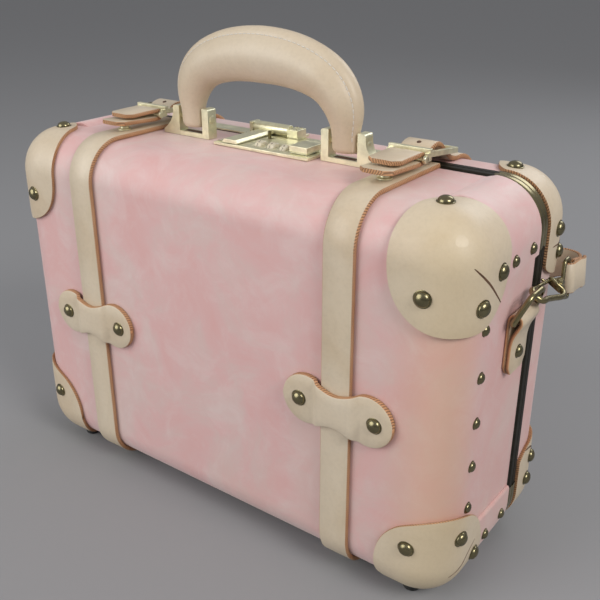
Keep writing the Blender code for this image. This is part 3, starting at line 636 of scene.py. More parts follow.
def outline(grow, y, inset=0.0, steps=14):
    edge = grow - inset
    half, low, high = WIDTH / 2 - CORNER, CORNER, HEIGHT - CORNER
    points = []
    for x, z, start in ((half, high, 0), (-half, high, 90), (-half, low, 180), (half, low, 270)):
        points += [(a, y, b) for a, b in arc((x, z), CORNER + edge, start, start + 90, steps)]
    return points


def half_rings(grow, fillet, face_y, rim_y, steps=12):
    way = 1 if rim_y > face_y else -1
    radius = fillet + grow
    rings = []
    for i in range(steps + 1):
        angle = math.radians(90 * i / steps)
        y = face_y + way * (radius * (1 - math.cos(angle)) - grow)
        rings.append(outline(grow, y, radius * (1 - math.sin(angle))))
    return rings + [outline(grow, rim_y)]


def distance_out(p):
    """How far a point stands outside the case's skin."""
    front = p.y < PART
    fillet = FRONT_FILLET if front else REAR_FILLET
    depth = p.y if front else DEPTH - p.y
    qx = abs(p.x) - (WIDTH / 2 - CORNER)
    qz = abs(p.z - HEIGHT / 2) - (HEIGHT / 2 - CORNER)
    flat = math.hypot(max(qx, 0), max(qz, 0)) + min(max(qx, qz), 0) - CORNER
    a, b = flat + fillet, fillet - depth
    return math.hypot(max(a, 0), max(b, 0)) + min(max(a, b), 0) - fillet


def seat(point, lift):
    """Nearest place on the skin grown by lift, and the way out of it."""
    p = Vector(point)
    for _ in range(6):
        here = distance_out(p)
        step = 0.01
        slope = Vector([distance_out(p + e * step) - here for e in
                        (Vector((1, 0, 0)), Vector((0, 1, 0)), Vector((0, 0, 1)))]) / step
        p -= slope.normalized() * (here - lift)
    return p, slope.normalized()


def build_shells():
    for name, fillet, face_y, rim, body in (("base", FRONT_FILLET, 0, RIM, "base"),
                                            ("lid", REAR_FILLET, DEPTH, LID_RIM, "lid")):
        for part, outer, inner, look in (("shell", 0.0, -3.0, PINK), ("lining", -3.3, -4.3, CLOTH)):
            shape = Shape().rings(half_rings(outer, fillet, face_y, rim)
                                  + half_rings(inner, fillet, face_y, rim)[::-1])
            node = f"{name}_{part}"
            piece = make(f"{node}_skin", shape, look, body, (node,))
            if name == "base":
                cut(piece, box(Shape(), (-10.2, 21.6), (61, 76), (HEIGHT - 12, HEIGHT + 2)))


def build_frames():
    halves = (("base", 92.05, 97.83, 1), ("lid", 103.95, 98.17, -1))
    for name, outer_y, inner_y, way in halves:
        section = ((-4, outer_y), (0.1, outer_y), (1.2, outer_y + way * 1.3),
                   (1.25, outer_y + way * 1.6), (1.25, inner_y - way * 0.4), (0.95, inner_y),
                   (-4, inner_y))
        shape = Shape().rings([outline(g, y) for g, y in section], cyclic=True)
        make(f"{name}_frame_rail", shape, PAINTED_DARK_FRAME, name, (f"{name}_frame",), angle=20)
        sleeves = Shape()
        for sx in (-1, 1):
            for top in (False, True):
                sleeve(sleeves, sx, top, outer_y, inner_y, way)
        make(f"{name}_frame_sleeves", sleeves, AGED, name, angle=25)
        trim = box(Shape(), (-88, 88), sorted((outer_y - way * 0.15, inner_y + way * 0.05)),
                   (HEIGHT + 0.4, HEIGHT + 1.45))
        make(f"{name}_frame_trim", trim, BRASS, name, bevel=0.15)


def sleeve(shape, sx, top, outer_y, inner_y, way):
    """Brass sleeve pressed over the frame at one corner, with pointed ends."""
    half = WIDTH / 2 - CORNER
    section = ((0.3, outer_y - way * 0.02), (1.2, outer_y + way * 0.3), (1.75, outer_y + way * 1.5),
               (1.85, (outer_y + inner_y) / 2), (1.7, inner_y - way * 0.5), (1.0, inner_y - way * 0.02))
    middle = sum(y for _, y in section) / len(section)
    rings = []
    for k in range(-3, 20):
        ring = []
        for g, y in section:
            notch = 1.6 * (1 - abs(y - middle) / 3)
            if k < 0:
                x, z = WIDTH / 2 + g, CORNER + 9 - (k + 3) * 3 + (notch if k == -3 else 0)
            elif k <= 16:
                angle = math.radians(90 * k / 16)
                x = half + (CORNER + g) * math.cos(angle)
                z = CORNER - (CORNER + g) * math.sin(angle)
            else:
                x, z = half - (k - 16) * 0.6 - (notch if k == 19 else 0), -g
            ring.append((sx * x, y, HEIGHT - z if top else z))
        rings.append(ring)
    shape.rings(rings)


# ------------------------------------------------------------------ leather on the shell

def cap_shape(centre, radius, power, rim_y):
    """Skin round one corner, out to where a squarish ball meets the shell, cut off at the frame."""
    lift = GAP + CAP_T
    c = Vector(centre)
    front = c.y < PART
    core = Vector((math.copysign(WIDTH / 2 - CORNER - 6, c.x), 34 if front else DEPTH - 30,
                   (HEIGHT - CORNER - 6) if c.z > HEIGHT / 2 else CORNER + 6))
    corner = Vector((math.copysign(WIDTH / 2, c.x), 0 if front else DEPTH,
                     HEIGHT if c.z > HEIGHT / 2 else 0))
    axis = (corner - core).normalized()
    side = axis.orthogonal().normalized()
    other = axis.cross(side)

    def skin(theta, phi, grow):
        way = axis * math.cos(theta) + (side * math.cos(phi) + other * math.sin(phi)) * math.sin(theta)
        low, high = 5.0, 120.0
        for _ in range(24):
            mid = (low + high) / 2
            low, high = (mid, high) if distance_out(core + way * mid) < grow else (low, mid)
        return core + way * low

    def inside(p):
        spread = sum(abs(a) ** power for a in p - c)
        return spread < radius ** power and (p.y < rim_y if front else p.y > rim_y)

    around, rows = 96, 14
    reach = []
    for k in range(around):
        phi = 2 * math.pi * k / around
        low, high = 0.2, 2.9
        for _ in range(16):
            mid = (low + high) / 2
            low, high = (mid, high) if inside(skin(mid, phi, lift)) else (low, mid)
        reach.append((phi, low))
    rings = []
    for row in range(1, rows + 1):
        share = row / rows
        grow = lift if row < rows else lift - 0.35
        rings.append([skin(t * share, phi, grow) for phi, t in reach])
    brow = [skin(t * (1 + 0.010), phi, lift - 0.9) for phi, t in reach]
    foot = [skin(t * (1 + 0.012), phi, 0.12) for phi, t in reach]
    shape = Shape().rings(rings, caps=False)
    top = [skin(0, 0, lift)]
    shape.add(top + rings[0], [[0, 1 + i, 1 + (i + 1) % around] for i in range(around)])
    outer = rings[-1]
    dist = lengths(outer)
    rim_rings = [outer, brow, foot]
    faces = []
    for r in range(2):
        for i in range(around):
            j = (i + 1) % around
            low, high = r * around, (r + 1) * around
            faces.append([low + i, low + j, high + j, high + i])
    rise = [2.2] * around + [1.2] * around + [0.0] * around
    shape.add([p for ring in rim_rings for p in ring], faces, 1, dist * 3, rise)
    return shape


def build_caps():
    halves = (("front", 0, RIM - GAP, 1, "base"), ("rear", DEPTH, LID_RIM + GAP, -1, "lid"))
    levels = (("top", CAP_TOP, HEIGHT - CAP_TOP[2]), ("bottom", CAP_LOW, CAP_LOW[2]))
    for half, face_y, rim_y, inward, body in halves:
        for level, reach, z in levels:
            centre = (reach[0], face_y + inward * reach[1], z)
            right = cap_shape(centre, reach[3], reach[4], rim_y)
            for side, shape in (("right", right), ("left", right.mirrored())):
                node = f"cap_{half}_{level}_{side}"
                make(f"{node}_leather", shape, (CREAM, EDGE), body, (node,), angle=50)


def surface_ribbon(shape, points, lift, width, thickness):
    """Thin strip lying on the skin, tapering at both ends, as a slit or a welt."""
    path = smooth([Vector(p) for p in points], 5)
    seated = [seat(p, lift) for p in path]
    spots = [p for p, _ in seated]
    rings = []
    last = len(spots) - 1
    for i, ((p, out), along) in enumerate(zip(seated, tangents(spots))):
        side = along.cross(out).normalized()
        half = width / 2 * (0.25 + 0.75 * math.sin(math.pi * i / last) ** 0.5)
        rings.append([p + side * half * a + out * thickness * b
                      for a, b in ((-1, -0.5), (1, -0.5), (0.7, 0.5), (-0.7, 0.5))])
    shape.rings(rings)


def build_darts():
    """Cuts that let the leather of each cap fold round the corner."""
    lift = GAP + CAP_T
    front, rear = Shape(), Shape()
    for sx in (-1, 1):
        x = sx * SIDE_X
        surface_ribbon(front, [(sx * 178.2, 10.7, 221.1), (sx * 182, 18.7, 213.0),
                               (x, 28.2, 204.0), (x, 38.3, 194.1)], lift, 1.6, 0.25)
        surface_ribbon(front, [(sx * 178.5, 13.3, 19.0), (sx * 182, 20.6, 23.2),
                               (x, 27.4, 28.6), (x, 38.1, 34.2)], lift, 0.9, 0.2)
        surface_ribbon(rear, [(x, 136, 207), (x, 124, 203), (x, 112, 203)], lift, 1.3, 0.25)
        surface_ribbon(rear, [(x, 136, 43), (x, 124, 55), (x, 112, 58)], lift, 1.3, 0.25)
    make("front_cap_darts", front, GROOVE_AND_SHADE, "base")
    make("rear_cap_darts", rear, GROOVE_AND_SHADE, "lid")


def build_bands():
    """Strips of the cover that reinforce the corners next to the frame."""
    shape = Shape()
    for sx in (-1, 1):
        for top in (False, True):
            rings = []
            for y, g in ((43, 0.1), (43, BAND_T - 0.5), (43.6, BAND_T), (90.7, BAND_T),
                         (91.3, BAND_T - 0.5), (91.3, 0.1)):
                tip = 15.5 - max(y - 70, 0) * 0.12
                run = [(WIDTH / 2 + 0.1, CORNER + tip + 0.1),
                       (WIDTH / 2 + min(g, BAND_T - 0.9), CORNER + tip),
                       (WIDTH / 2 + g, CORNER + tip - 1.1), (WIDTH / 2 + g, CORNER + 6)]
                run += [(WIDTH / 2 - CORNER + (CORNER + g) * math.cos(math.radians(a)),
                         CORNER - (CORNER + g) * math.sin(math.radians(a))) for a in range(0, 91, 6)]
                run += [(WIDTH / 2 - CORNER - 8 * t, -g * (1 - t) + 0.2 * t) for t in (0.3, 0.6, 1)]
                rings.append([(sx * x, y, HEIGHT - z if top else z) for x, z in run])
            shape.rings(rings, closed=False, caps=False)
            for end in (0, -1):
                edge = [ring[end] for ring in rings]
                shape.add(edge, [list(range(len(edge)))])
    make("corner_bands", shape, PINK, "base")


def front_wrap():
    lift = GAP + STRAP_T / 2
    end_y, radius = RIM - 0.5, FRONT_FILLET + lift
    points = [(end_y, HEIGHT + lift), (70, HEIGHT + lift), (45, HEIGHT + lift)]
    points += list(arc((FRONT_FILLET, HEIGHT - FRONT_FILLET), radius, 90, 180, 16))
    points += [(-lift, z) for z in (190, 160, 130, 100, 70, 45)]
    points += list(arc((FRONT_FILLET, FRONT_FILLET), radius, 180, 270, 16))
    return points + [(45, -lift), (70, -lift), (end_y, -lift)]


def lid_wrap():
    lift = GAP + STRAP_T / 2
    radius, rear = REAR_FILLET + lift, DEPTH - REAR_FILLET
    points = [(LID_RIM + 0.5, -lift), (111, -lift)]
    points += list(arc((rear, REAR_FILLET), radius, -90, 0, 16))
    points += [(DEPTH + lift, z) for z in (50, 90, 130, 170, 200)]
    points += list(arc((rear, HEIGHT - REAR_FILLET), radius, 0, 90, 16))
    crest = ((113, 1.9), (105.5, 4.0), (99, 8.4), (93.5, 13.1), (87.5, 15.7), (80.5, 14.7),
             (75.8, 11.4))
    rise = smooth([(0, y, HEIGHT + z) for y, z in crest], 6)
    return points + [(p.y, p.z) for p in rise]


def tab_line():
    turn = 1.5 + TAB_T / 2
    z = TAB_Z
    upper = smooth([(0, 38, z + 2.6), (0, 44, z + 2.68), (0, 52, z + turn), (0, 60, z + turn)], 5)
    lower = smooth([(0, 60, z - turn), (0, 52, z - turn + 0.5), (0, 38, z - 1.4), (0, 33, z - 1.15),
                    (0, 29, z - 0.9)], 5)
    return ([(p.y, p.z) for p in upper] + list(arc((TAB_Y, z), turn, 90, -90, 12))
            + [(p.y, p.z) for p in lower])


def strap_piece(name, x, line, body, node, width=WRAP_W, thickness=STRAP_T):
    path = [Vector((x, y, z)) for y, z in line]
    shape = strip(Shape(), path, lambda i: (1, 0, 0), width, thickness)
    make(name, shape, (CREAM, EDGE), body, (node,), angle=50)


def keeper(x):
    """Dog-bone tab: bridges the strap and lies on the shell at both ends."""
    lobe_r, waist = 16.5, 10.8
    lobe_x = KEEPER_HALF - lobe_r
    stations = 64
    rings, spots = [], []
    for i in range(stations + 1):
        dx = -KEEPER_HALF * math.cos(math.pi * i / stations)
        reach = abs(dx)
        if reach > lobe_x:
            half = max(math.sqrt(max(lobe_r ** 2 - (reach - lobe_x) ** 2, 0)), 1.0)
        else:
            t = reach / lobe_x
            half = waist + (lobe_r - waist) * ease(t)
        t = min(max((reach - STRAP_W / 2 - 0.6) / 5, 0), 1)
        lift = GAP + (STRAP_T + GAP) * (1 - ease(t))
        soft = min(0.7, half * 0.6)
        flank = [(half, 0), (half, 1.2), (half, KEEPER_T - soft),
                 (half - soft * 0.35, KEEPER_T - soft * 0.3), (half - soft, KEEPER_T),
                 (half * 0.5, KEEPER_T + 0.15)]
        section = [(-a, b) for a, b in flank] + flank[::-1]
        rings.append([(x + dx, -lift - b, KEEPER_Z + a) for a, b in section])
        spots.append(Vector((dx, half, 0)))
    dist = lengths(spots)
    marks = [1, 1, 1, 0, 0, 0, 0, 0, 1, 1, 1, 0]
    rise = [0, 1.2, 1.8, 2.2, 2.5, 2.5, 2.5, 2.5, 2.2, 1.8, 1.2, 0]
    shape = Shape().rings(rings, mark=marks, along=dist, rise=rise)
    shape.marks[-2:] = [1, 1]
    return shape


def build_straps():
    for side, sx in SIDES:
        x = sx * STRAP_X
        wrap_x = x - sx * WRAP_SHIFT
        strap_piece(f"front_strap_{side}", wrap_x, front_wrap(), "base", f"base_strap_{side}")
        strap_piece(f"rear_strap_{side}", wrap_x, lid_wrap(), "lid", f"lid_strap_{side}")
        strap_piece(f"folded_tab_{side}", x, tab_line(), f"tab_{side}", f"buckle_tab_{side}",
                    clipped(STRAP_W, 8), TAB_T)
        make(f"keeper_{side}", keeper(x), (CREAM, EDGE), "base", (f"strap_keeper_{side}",), angle=50)
        build_buckle(side, sx, x)


def build_buckle(side, sx, x):
    outer, inner, front, rear, bar, half_t = 14, 11.5, 70, 106, 3, 1.7

    def level(y):
        return HEIGHT + 9.3 + 4.4 * (rear - y) / (rear - front)

    def ring(reach, y_low, y_high, lift):
        corner = 1.6 if reach == outer else 0.6
        points = []
        right, left = x + reach - corner, x - reach + corner
        far, near = y_high - corner, y_low + corner
        for centre, start in (((right, far), 0), ((left, far), 90), ((left, near), 180),
                              ((right, near), 270)):
            points += [(a, b, level(b) + lift) for a, b in arc(centre, corner, start, start + 90, 4)]
        return points

    body = Shape().rings([ring(outer, front, rear, -half_t), ring(outer, front, rear, half_t),
                          ring(inner, front + bar, rear - bar, half_t),
                          ring(inner, front + bar, rear - bar, -half_t)], cyclic=True)
    for s in (-1, 1):
        box(body, sorted((x + s * inner, x + s * (outer - 0.2))), (TAB_Y + 0.5, front + 1),
            (TAB_Z - 1.6, TAB_Z + 3.4))
        rod(body, (TAB_Y, TAB_Z), 2.3, *sorted((x + s * inner, x + s * (outer - 0.2))), soft=0.4)
    rod(body, (TAB_Y, TAB_Z), 1.2, x - inner - 1, x + inner + 1)
    low, high = level(front) - half_t + 0.1, level(front) + half_t + 1.4
    box(body, (x - outer - 0.1, x + outer + 0.1), (front - 1.1, front + 1.7), (low, high))
    make(f"buckle_ring_{side}", body, BRASS, "lid", (f"buckle_{side}",), bevel=0.35)
    # painted shade: a dark disc stands for the shade inside the strap's hole
    hole = Shape()
    lathe(hole, (x - sx * WRAP_SHIFT, 81.8, HEIGHT + 16.75), (0, -0.32, 0.95),
          ((1.4, -0.6), (1.4, 0.1), (0.9, 0.14)), 18)
    make(f"strap_hole_{side}", hole, GROOVE_AND_SHADE, "lid")
    stud = ((4.6, 0), (4.6, 0.9), (3.1, 1.3), (3.0, 2.3), (2.2, 2.5))
    lathe_piece(f"stud_{side}", (x, SNAP_Y, HEIGHT + 3.6), stud, "base", f"snap_stud_{side}")
    cup = ((3.4, 0), (4.9, 0.2), (5.2, 0.7), (5.2, 1.2), (4.6, 1.6))
    lathe_piece(f"socket_{side}", (x, SNAP_Y, HEIGHT + 6.4), cup, f"tab_{side}", f"snap_socket_{side}")


def lathe_piece(name, centre, profile, body, node):
    make(name, lathe(Shape(), centre, (0, 0, 1), profile), BRASS, body, (node,))


# ------------------------------------------------------------------ rivets and feet

def rivet(shape, spot, out, radius):
    """Domed rivet head on a thin washer."""
    flange = radius * 1.12
    profile = [(flange, -0.35), (flange, 0.12), (radius * 1.02, 0.3), (radius * 0.97, 0.32)]
    profile += [(radius * 0.97 * math.cos(a), 0.32 + radius * 0.62 * math.sin(a))
                for a in map(math.radians, (10, 20, 32, 44, 56, 68, 79, 88))]
    lathe(shape, spot, out, profile, 22)


def build_rivets():
    base, lid = Shape(), Shape()
    cap = GAP + CAP_T
    on_base = [(spot, cap, RIVET_BIG) for spot in (
        (157, -3, 203.7), (157, -3, 41.5), (152, 26.6, 248), (152, 26.6, -3),
        (SIDE_X, 17.7, 197.1), (SIDE_X, 36.5, 212.2), (SIDE_X, 18.4, 46.6), (SIDE_X, 38.4, 22.9))]
    on_base += [((183, 28, z), 0, RIVET_SMALL) for z in (180.4, 151, 121.7, 92.3, 62.9)]
    on_base += [((183, y, z), BAND_T, RIVET_SMALL) for y in (54.8, 79.6) for z in (212.2, 26.3)]
    on_lid = [(spot, cap, RIVET_BIG) for spot in (
        (153.4, 114, 248), (153.4, 114, -3), (SIDE_X, 119.2, 213.2), (SIDE_X, 124.2, 197.5),
        (SIDE_X, 119.2, 31.8), (SIDE_X, 124.2, 47.5), (157, 146, 203.7), (157, 146, 41.5))]
    for shape, places in ((base, on_base), (lid, on_lid)):
        for (x, y, z), lift, radius in places:
            for sx in (-1, 1):
                spot, out = seat((sx * x, y, z), lift)
                rivet(shape, spot, out, radius)
    for sx in (-1, 1):
        for dx in (-26.6, 26.6):
            spot = (sx * STRAP_X + dx, -GAP - KEEPER_T - 0.1, 118.3)
            rivet(base, spot, (0, -1, 0), RIVET_BIG)
        rivet(base, (sx * 184.45, CHAPE_Y, 151.8), (sx, 0, 0), 4.0)
    make("rivets_base", base, ANTIQUE, "base", angle=60)
    make("rivets_lid", lid, ANTIQUE, "lid", angle=60)


def build_feet():
    for half, y, body in (("front", 20, "base"), ("rear", DEPTH - 20, "lid")):
        for side, sx in SIDES:
            low, _ = seat((sx * FOOT_X, y, -4), GAP + CAP_T)
            profile = [(1.6, -6.2), (2.4, -6.2), (2.6, -7.0), (4.4, -7.0), (5.3, -6.6), (5.7, -5.8),
                       (5.7, low.z + 0.2)]
            node = f"foot_{half}_{side}"
            pad = lathe(Shape(), (sx * FOOT_X, y, 0), (0, 0, 1), profile, 28)
            make(f"{node}_pad", pad, RUBBER, body, (node,))


# ------------------------------------------------------------------ handle

def eased(path, rounds=14, hold=14):
    """Evens out the bends of a curve beyond its first few points."""
    path = list(path)
    for _ in range(rounds):
        path[hold:-1] = [(a + 2 * b + c) / 4 for a, b, c in
                         zip(path[hold - 1:], path[hold:], path[hold + 1:])]
        path[-1] = Vector((path[-1].x, path[-2].y, path[-2].z)) * 0.5 + path[-1] * 0.5
    return path


def handle_sections():
    """Middle line, way out of the arch, reach and depth at each station."""
    stations = (
        (LEG_X, 7.6, 7.8, 5.4), (LEG_X, 9.5, 8.7, 6.6), (LEG_X, 13.2, 8.9, 7.2),
        (LEG_X, 19, 9.2, 8.0), (LEG_X + 0.1, 23.5, 10.2, 8.9), (LEG_X - 0.5, 30, 12.2, 10.2),
        (59.8, 38, 13.7, 11.5), (52.4, 47.6, 14.8, 12.6), (40, 54.2, 15.8, 13.2),
        (22, 58.8, 16.9, 13.5), (0, 60.4, 17.5, 13.5),
    )
    middle = eased(smooth([(x, HANDLE_Y - 0.8, HEIGHT + z) for x, z, _, _ in stations], 6))
    sizes = eased(smooth([(b, a, 0) for _, _, b, a in stations], 6))
    path = middle + [Vector((-p.x, p.y, p.z)) for p in middle[-2::-1]]
    sizes = sizes + sizes[-2::-1]
    outward = [Vector((0, 1, 0)).cross(t) for t in tangents(path)]
    return [(p, o, s.x, s.y) for p, o, s in zip(path, outward, sizes)]


def side_profile(deep):
    """Half thickness of the handle from its inner edge (-1) to the sewn outer edge (1)."""
    points = [(math.sin(math.radians(a)), math.cos(math.radians(a)) * deep) for a in range(-90, 1, 10)]
    for s in (0.15, 0.3, 0.45, 0.58, 0.68):
        points.append((s, deep * math.sqrt(1 - s * s) * (1 - 0.40 * s * s)))
    lip = deep * 0.40
    neck = deep * 0.50
    points += [(0.73, neck), (0.76, neck * 0.93), (0.80, lip * 1.16), (0.87, lip), (0.93, lip * 0.82),
               (0.975, lip * 0.5), (1.0, lip * 0.12)]
    return points


def build_handle():
    rings = []
    sections = handle_sections()
    for p, out, reach, deep in sections:
        profile = side_profile(deep)
        ring = [p + out * reach * s + Vector((0, -1, 0)) * d for s, d in profile]
        ring += [p + out * reach * s + Vector((0, 1, 0)) * d for s, d in profile[-2:0:-1]]
        rings.append(ring)
    ends = []
    for ring in (rings[0], rings[-1]):
        centre = sum(ring, Vector()) / len(ring)
        ends.append([centre + (q - centre) * 0.8 + Vector((0, 0, -0.45)) for q in ring])
    shape = Shape().rings([ends[0]] + rings + [ends[1]])
    grip = make("handle_padding", shape, CREAM, "handle", ("handle_grip",), angle=70)
    stitches = Shape()
    for way in (-1, 1):
        sew(stitches, sections, way)
    make("handle_stitches", stitches, THREAD, "handle")


def sew(shape, sections, way):
    """Line of stitches in the groove beside the outer edge."""
    groove = [p + out * reach * 0.745 + Vector((0, way, 0)) * (deep * 0.50 - 0.15)
              for p, out, reach, deep in sections[14:-14]]
    dist = lengths(groove)
    pitch, run = 3.5, 2.5
    spot = 0.0
    while spot + run < dist[-1]:
        path = [along_line(groove, dist, spot + run * k / 3) for k in range(4)]
        tube(shape, path, [0.26, 0.40, 0.40, 0.26], sides=6)
        spot += pitch


def along_line(path, dist, where):
    for i in range(1, len(dist)):
        if dist[i] >= where:
            t = (where - dist[i - 1]) / (dist[i] - dist[i - 1])
            return path[i - 1].lerp(path[i], t)
    return path[-1]


def build_brackets():
    floor, rest, top = 0.3, 3.3, 20.6
    inner, slot_in, slot_out, outer, toe = 46.5, 52.2, 73.3, 79, 88.5
    for side, sx in SIDES:
        points = [(inner, floor), (toe, floor), (toe, 2.9)]
        points += [(outer + (toe - outer) * (1 - t / 12) ** 2.4, 2.9 + (top - 5.3) * t / 12)
                   for t in range(1, 13)]
        points += list(arc((outer - 2, top - 2), 2, 20, 80, 3))
        points += [(slot_out, top), (slot_out, rest), (slot_in, rest), (slot_in, top)]
        points += list(arc((inner + 2, top - 2), 2, 100, 160, 3))
        shape = prism(Shape(), [(sx * a, HEIGHT + b) for a, b in points], 63.8, 72.2)
        # painted shadow: a thin dark sheet on the bracket floor under the handle's end
        shadow = ((54.5, 65.6), (71, 65.6), (71, 70.4), (54.5, 70.4))
        shape.rings([[(sx * a, y, HEIGHT + z) for a, y in shadow] for z in (3.31, 3.36)], mark=1)
        low, high = sorted((sx * 50, sx * 76))
        rod(shape, (HANDLE_Y, PIN_Z), 2.0, low, high)
        for x, way in ((46.5, -1), (79, 1)):
            lathe(shape, (sx * x, HANDLE_Y, PIN_Z), (sx * way, 0, 0),
                  ((2.9, -0.5), (2.9, 0.15), (2.3, 0.5), (1.2, 0.62)), 20)
        make(f"bracket_{side}", shape, (BRASS, GROOVE_AND_SHADE), "base", (f"handle_bracket_{side}",), bevel=0.5,
             segments=3)


# ------------------------------------------------------------------ lock

def dial(shape, x):
    """Ten-sided number wheel with a groove at each side."""
    rings = []
    for radius, dx in ((1.3, -2.5), (DIAL_R - 0.7, -2.5), (DIAL_R, -1.9), (DIAL_R, 1.9),
                       (DIAL_R - 0.7, 2.5), (1.3, 2.5)):
        rings.append([(x + dx, DIAL_Y + radius * math.sin(a), DIAL_Z + radius * math.cos(a))
                      for a in full_turn(10)])
    shape.rings(rings, cyclic=True)


def digit_mesh(text):
    curve = bpy.data.curves.new("digit", "FONT")
    curve.body = text
    curve.size = 2.9
    curve.align_x, curve.align_y = "CENTER", "CENTER"
    curve.extrude = 0.02
    curve.resolution_u = 2
    holder = bpy.data.objects.new("digit", curve)
    bpy.context.scene.collection.objects.link(holder)
    graph = bpy.context.evaluated_depsgraph_get()
    mesh = bpy.data.meshes.new_from_object(holder.evaluated_get(graph))
    bpy.data.objects.remove(holder)
    return mesh


def build_dials():
    faces = [digit_mesh(str(n)) for n in range(10)]
    flat_r = DIAL_R * math.cos(math.pi / 10)
    for number, x in enumerate(DIAL_XS, 1):
        wheel, figures = Shape(), Shape()
        dial(wheel, x)
        for n, mesh in enumerate(faces):
            turn = Matrix.Rotation(math.radians(36 * (n - 2 * number) + 18), 4, "X")
            lift = Matrix.Translation((0, 0, flat_r + 0.01))
            place = Matrix.Translation((x, DIAL_Y, DIAL_Z)) @ turn @ lift
            figures.add([place @ v.co for v in mesh.vertices],
                        [list(p.vertices) for p in mesh.polygons])
        body = f"dial_{number}"
        make(f"number_wheel_{number}", wheel, IVORY, body, (body,), angle=20, bevel=0.15)
        make(f"numbers_{number}", figures, INK, body, angle=20)


def screw(shape, centre, radius):
    """Countersunk slotted screw head."""
    x, y, z = centre
    head = ((radius, -0.3), (radius, 0.25), (radius - 0.4, 0.5), (0.3, 0.55))
    lathe(shape, centre, (0, 0, 1), head, 18)
    # painted shade: a dark bar stands for the shade inside the slot
    box(shape, (x - radius * 0.8, x + radius * 0.8), (y - 0.22, y + 0.22), (z + 0.45, z + 0.6),
        mark=1)


def build_lock():
    plate = box(Shape(), (-35.5, 42), (56.3, 91.5), (HEIGHT + GAP, PLATE_TOP))
    box(plate, (-9.6, 21), (61.6, 75.4), (HEIGHT - 7.4, HEIGHT + 1))
    piece = make("lock_face", plate, (BRASS, GROOVE_AND_SHADE), "base", ("lock_plate",))
    for x in DIAL_XS:
        cut(piece, box(Shape(), (x - 2.9, x + 2.9), (DIAL_Y - 6, DIAL_Y + 6),
                       (HEIGHT - 6.4, HEIGHT + 5)))
    for across, back in (((28, 38.6), (65, 71.6)), ((-12.6, -6.4), (84.6, 87.4))):
        cut(piece, box(Shape(), across, back, (HEIGHT + 1, HEIGHT + 4)))
    bevel = piece.modifiers.new("edges", "BEVEL")
    bevel.width, bevel.segments, bevel.limit_method = 0.4 * MM, 2, "ANGLE"
    screws = Shape()
    for x, y in ((-32.5, 59.3), (39, 88.5), (-32.5, 88.5), (39.2, 58.6)):
        screw(screws, (x, y, PLATE_TOP), 1.7)
    make("lock_screws", screws, (BRASS, GROOVE_AND_SHADE), "base")
    build_dials()
    slide = box(Shape(), (24.5, 38.5), (60.5, 76), (PLATE_TOP + 1.1, PLATE_TOP + 5))
    box(slide, (24.8, 38.2), (60.8, 75.7), (PLATE_TOP + GAP, PLATE_TOP + 0.9))
    box(slide, (28.4, 33.8), (65.4, 71.2), (HEIGHT + 1.4, PLATE_TOP + 1.2))
    make("release_slide", slide, BRASS, "slide", ("slide_button",), bevel=0.4, segments=3)
    lever = Shape()
    lathe(lever, (-11, 86, HEIGHT + 1.4), (0, 0, 1),
          ((1.1, 0), (1.1, 4.6), (1.25, 4.9), (1.25, 5.6), (0.8, 5.9)), 16)
    make("setting_lever", lever, ANTIQUE, "lever", ("code_lever",))
    build_hasp()


def build_hasp():
    ear = (HEIGHT + 1.5, HEIGHT + 9)
    mount = box(Shape(), (-2.1, 6.9), (93.3, 103.7), (ear[0], HEIGHT + 8))
    box(mount, (-36.2, -33.3), (95.2, 103.7), ear)
    box(mount, (-36.1, 6.8), (103.3, 107.5), (HEIGHT + 1.6, HEIGHT + 3.6))
    make("hasp_bracket", mount, BRASS, "lid", ("hasp_mount",), bevel=0.4)
    heads = Shape()
    for x in (0.6, 4.3):
        for y in (95.6, 101.4):
            screw(heads, (x, y, HEIGHT + 8), 1.2)
    rod(heads, (HASP_Y, HASP_Z), 1.4, -36.6, 0)
    make("hasp_fixings", heads, (BRASS, GROOVE_AND_SHADE), "lid")
    low, high, slope = PLATE_TOP + GAP, PLATE_TOP + 2.9, 1.8
    plan = ((-28.5, low), (-15.5, low), (-15.5, low + 0.8), (-15.5 - slope, high),
            (-28.5 + slope, high), (-28.5, low + 0.8))
    arm = prism(Shape(), plan, 57, HASP_Y - 2.2)
    tube_profile = ((1.75, 0), (3.7, 0), (4.0, 0.3), (4.0, 30.1), (3.7, 30.4), (1.75, 30.4))
    rings = []
    for radius, along in tube_profile:
        rings.append([(-32.9 + along, HASP_Y + radius * math.cos(a), HASP_Z + radius * math.sin(a))
                      for a in full_turn(32)])
    arm.rings(rings, cyclic=True)
    make("hasp_lever", arm, BRASS, "hasp", ("hasp_arm",), bevel=0.25)


# ------------------------------------------------------------------ side rings, hooks, strap

def chape(sx):
    """Leather strip folded round the ring and riveted to the side of the case."""
    line = ((183.4, 139.6), (183.4, 150), (183.5, 159), (184.7, 165.2), (187.1, 170.4),
            (188.7, 174.2), (188.2, 176.9), (186.6, 178.3), (185.0, 178.6), (183.2, 177.9),
            (182.0, 176.0), (181.4, 172), (181.35, 160), (181.35, 150), (181.35, 139.6))
    path = smooth([(sx * x, CHAPE_Y, z) for x, z in line], 4)
    return strip(Shape(), path, lambda i: (0, 1, 0), clipped(CHAPE_W, 7, 5), CHAPE_T, soft=0.4,
                 ribbed=False)


def rounded_loop(corners, radii, steps=8):
    path = []
    count = len(corners)
    for i, radius in enumerate(radii):
        before, at, after = (Vector(corners[(i + k) % count]) for k in (-1, 0, 1))
        back, on = (before - at).normalized(), (after - at).normalized()
        reach = radius / math.tan(back.angle(on) / 2)
        start, end = at + back * reach, at + on * reach
        for k in range(steps + 1):
            t = k / steps
            path.append((1 - t) ** 2 * start + 2 * t * (1 - t) * at + t * t * end)
    return path


def ring_path(sx):
    flat = rounded_loop(((52.7, 0), (61.2, 17), (78.2, 17), (86.7, 0)), (1.8, 6, 6, 1.8))
    rise = Vector((sx * math.sin(RING_LEAN), 0, math.cos(RING_LEAN)))
    return [Vector((sx * RING_X, p.x, RING_Z)) + rise * p.y for p in flat]


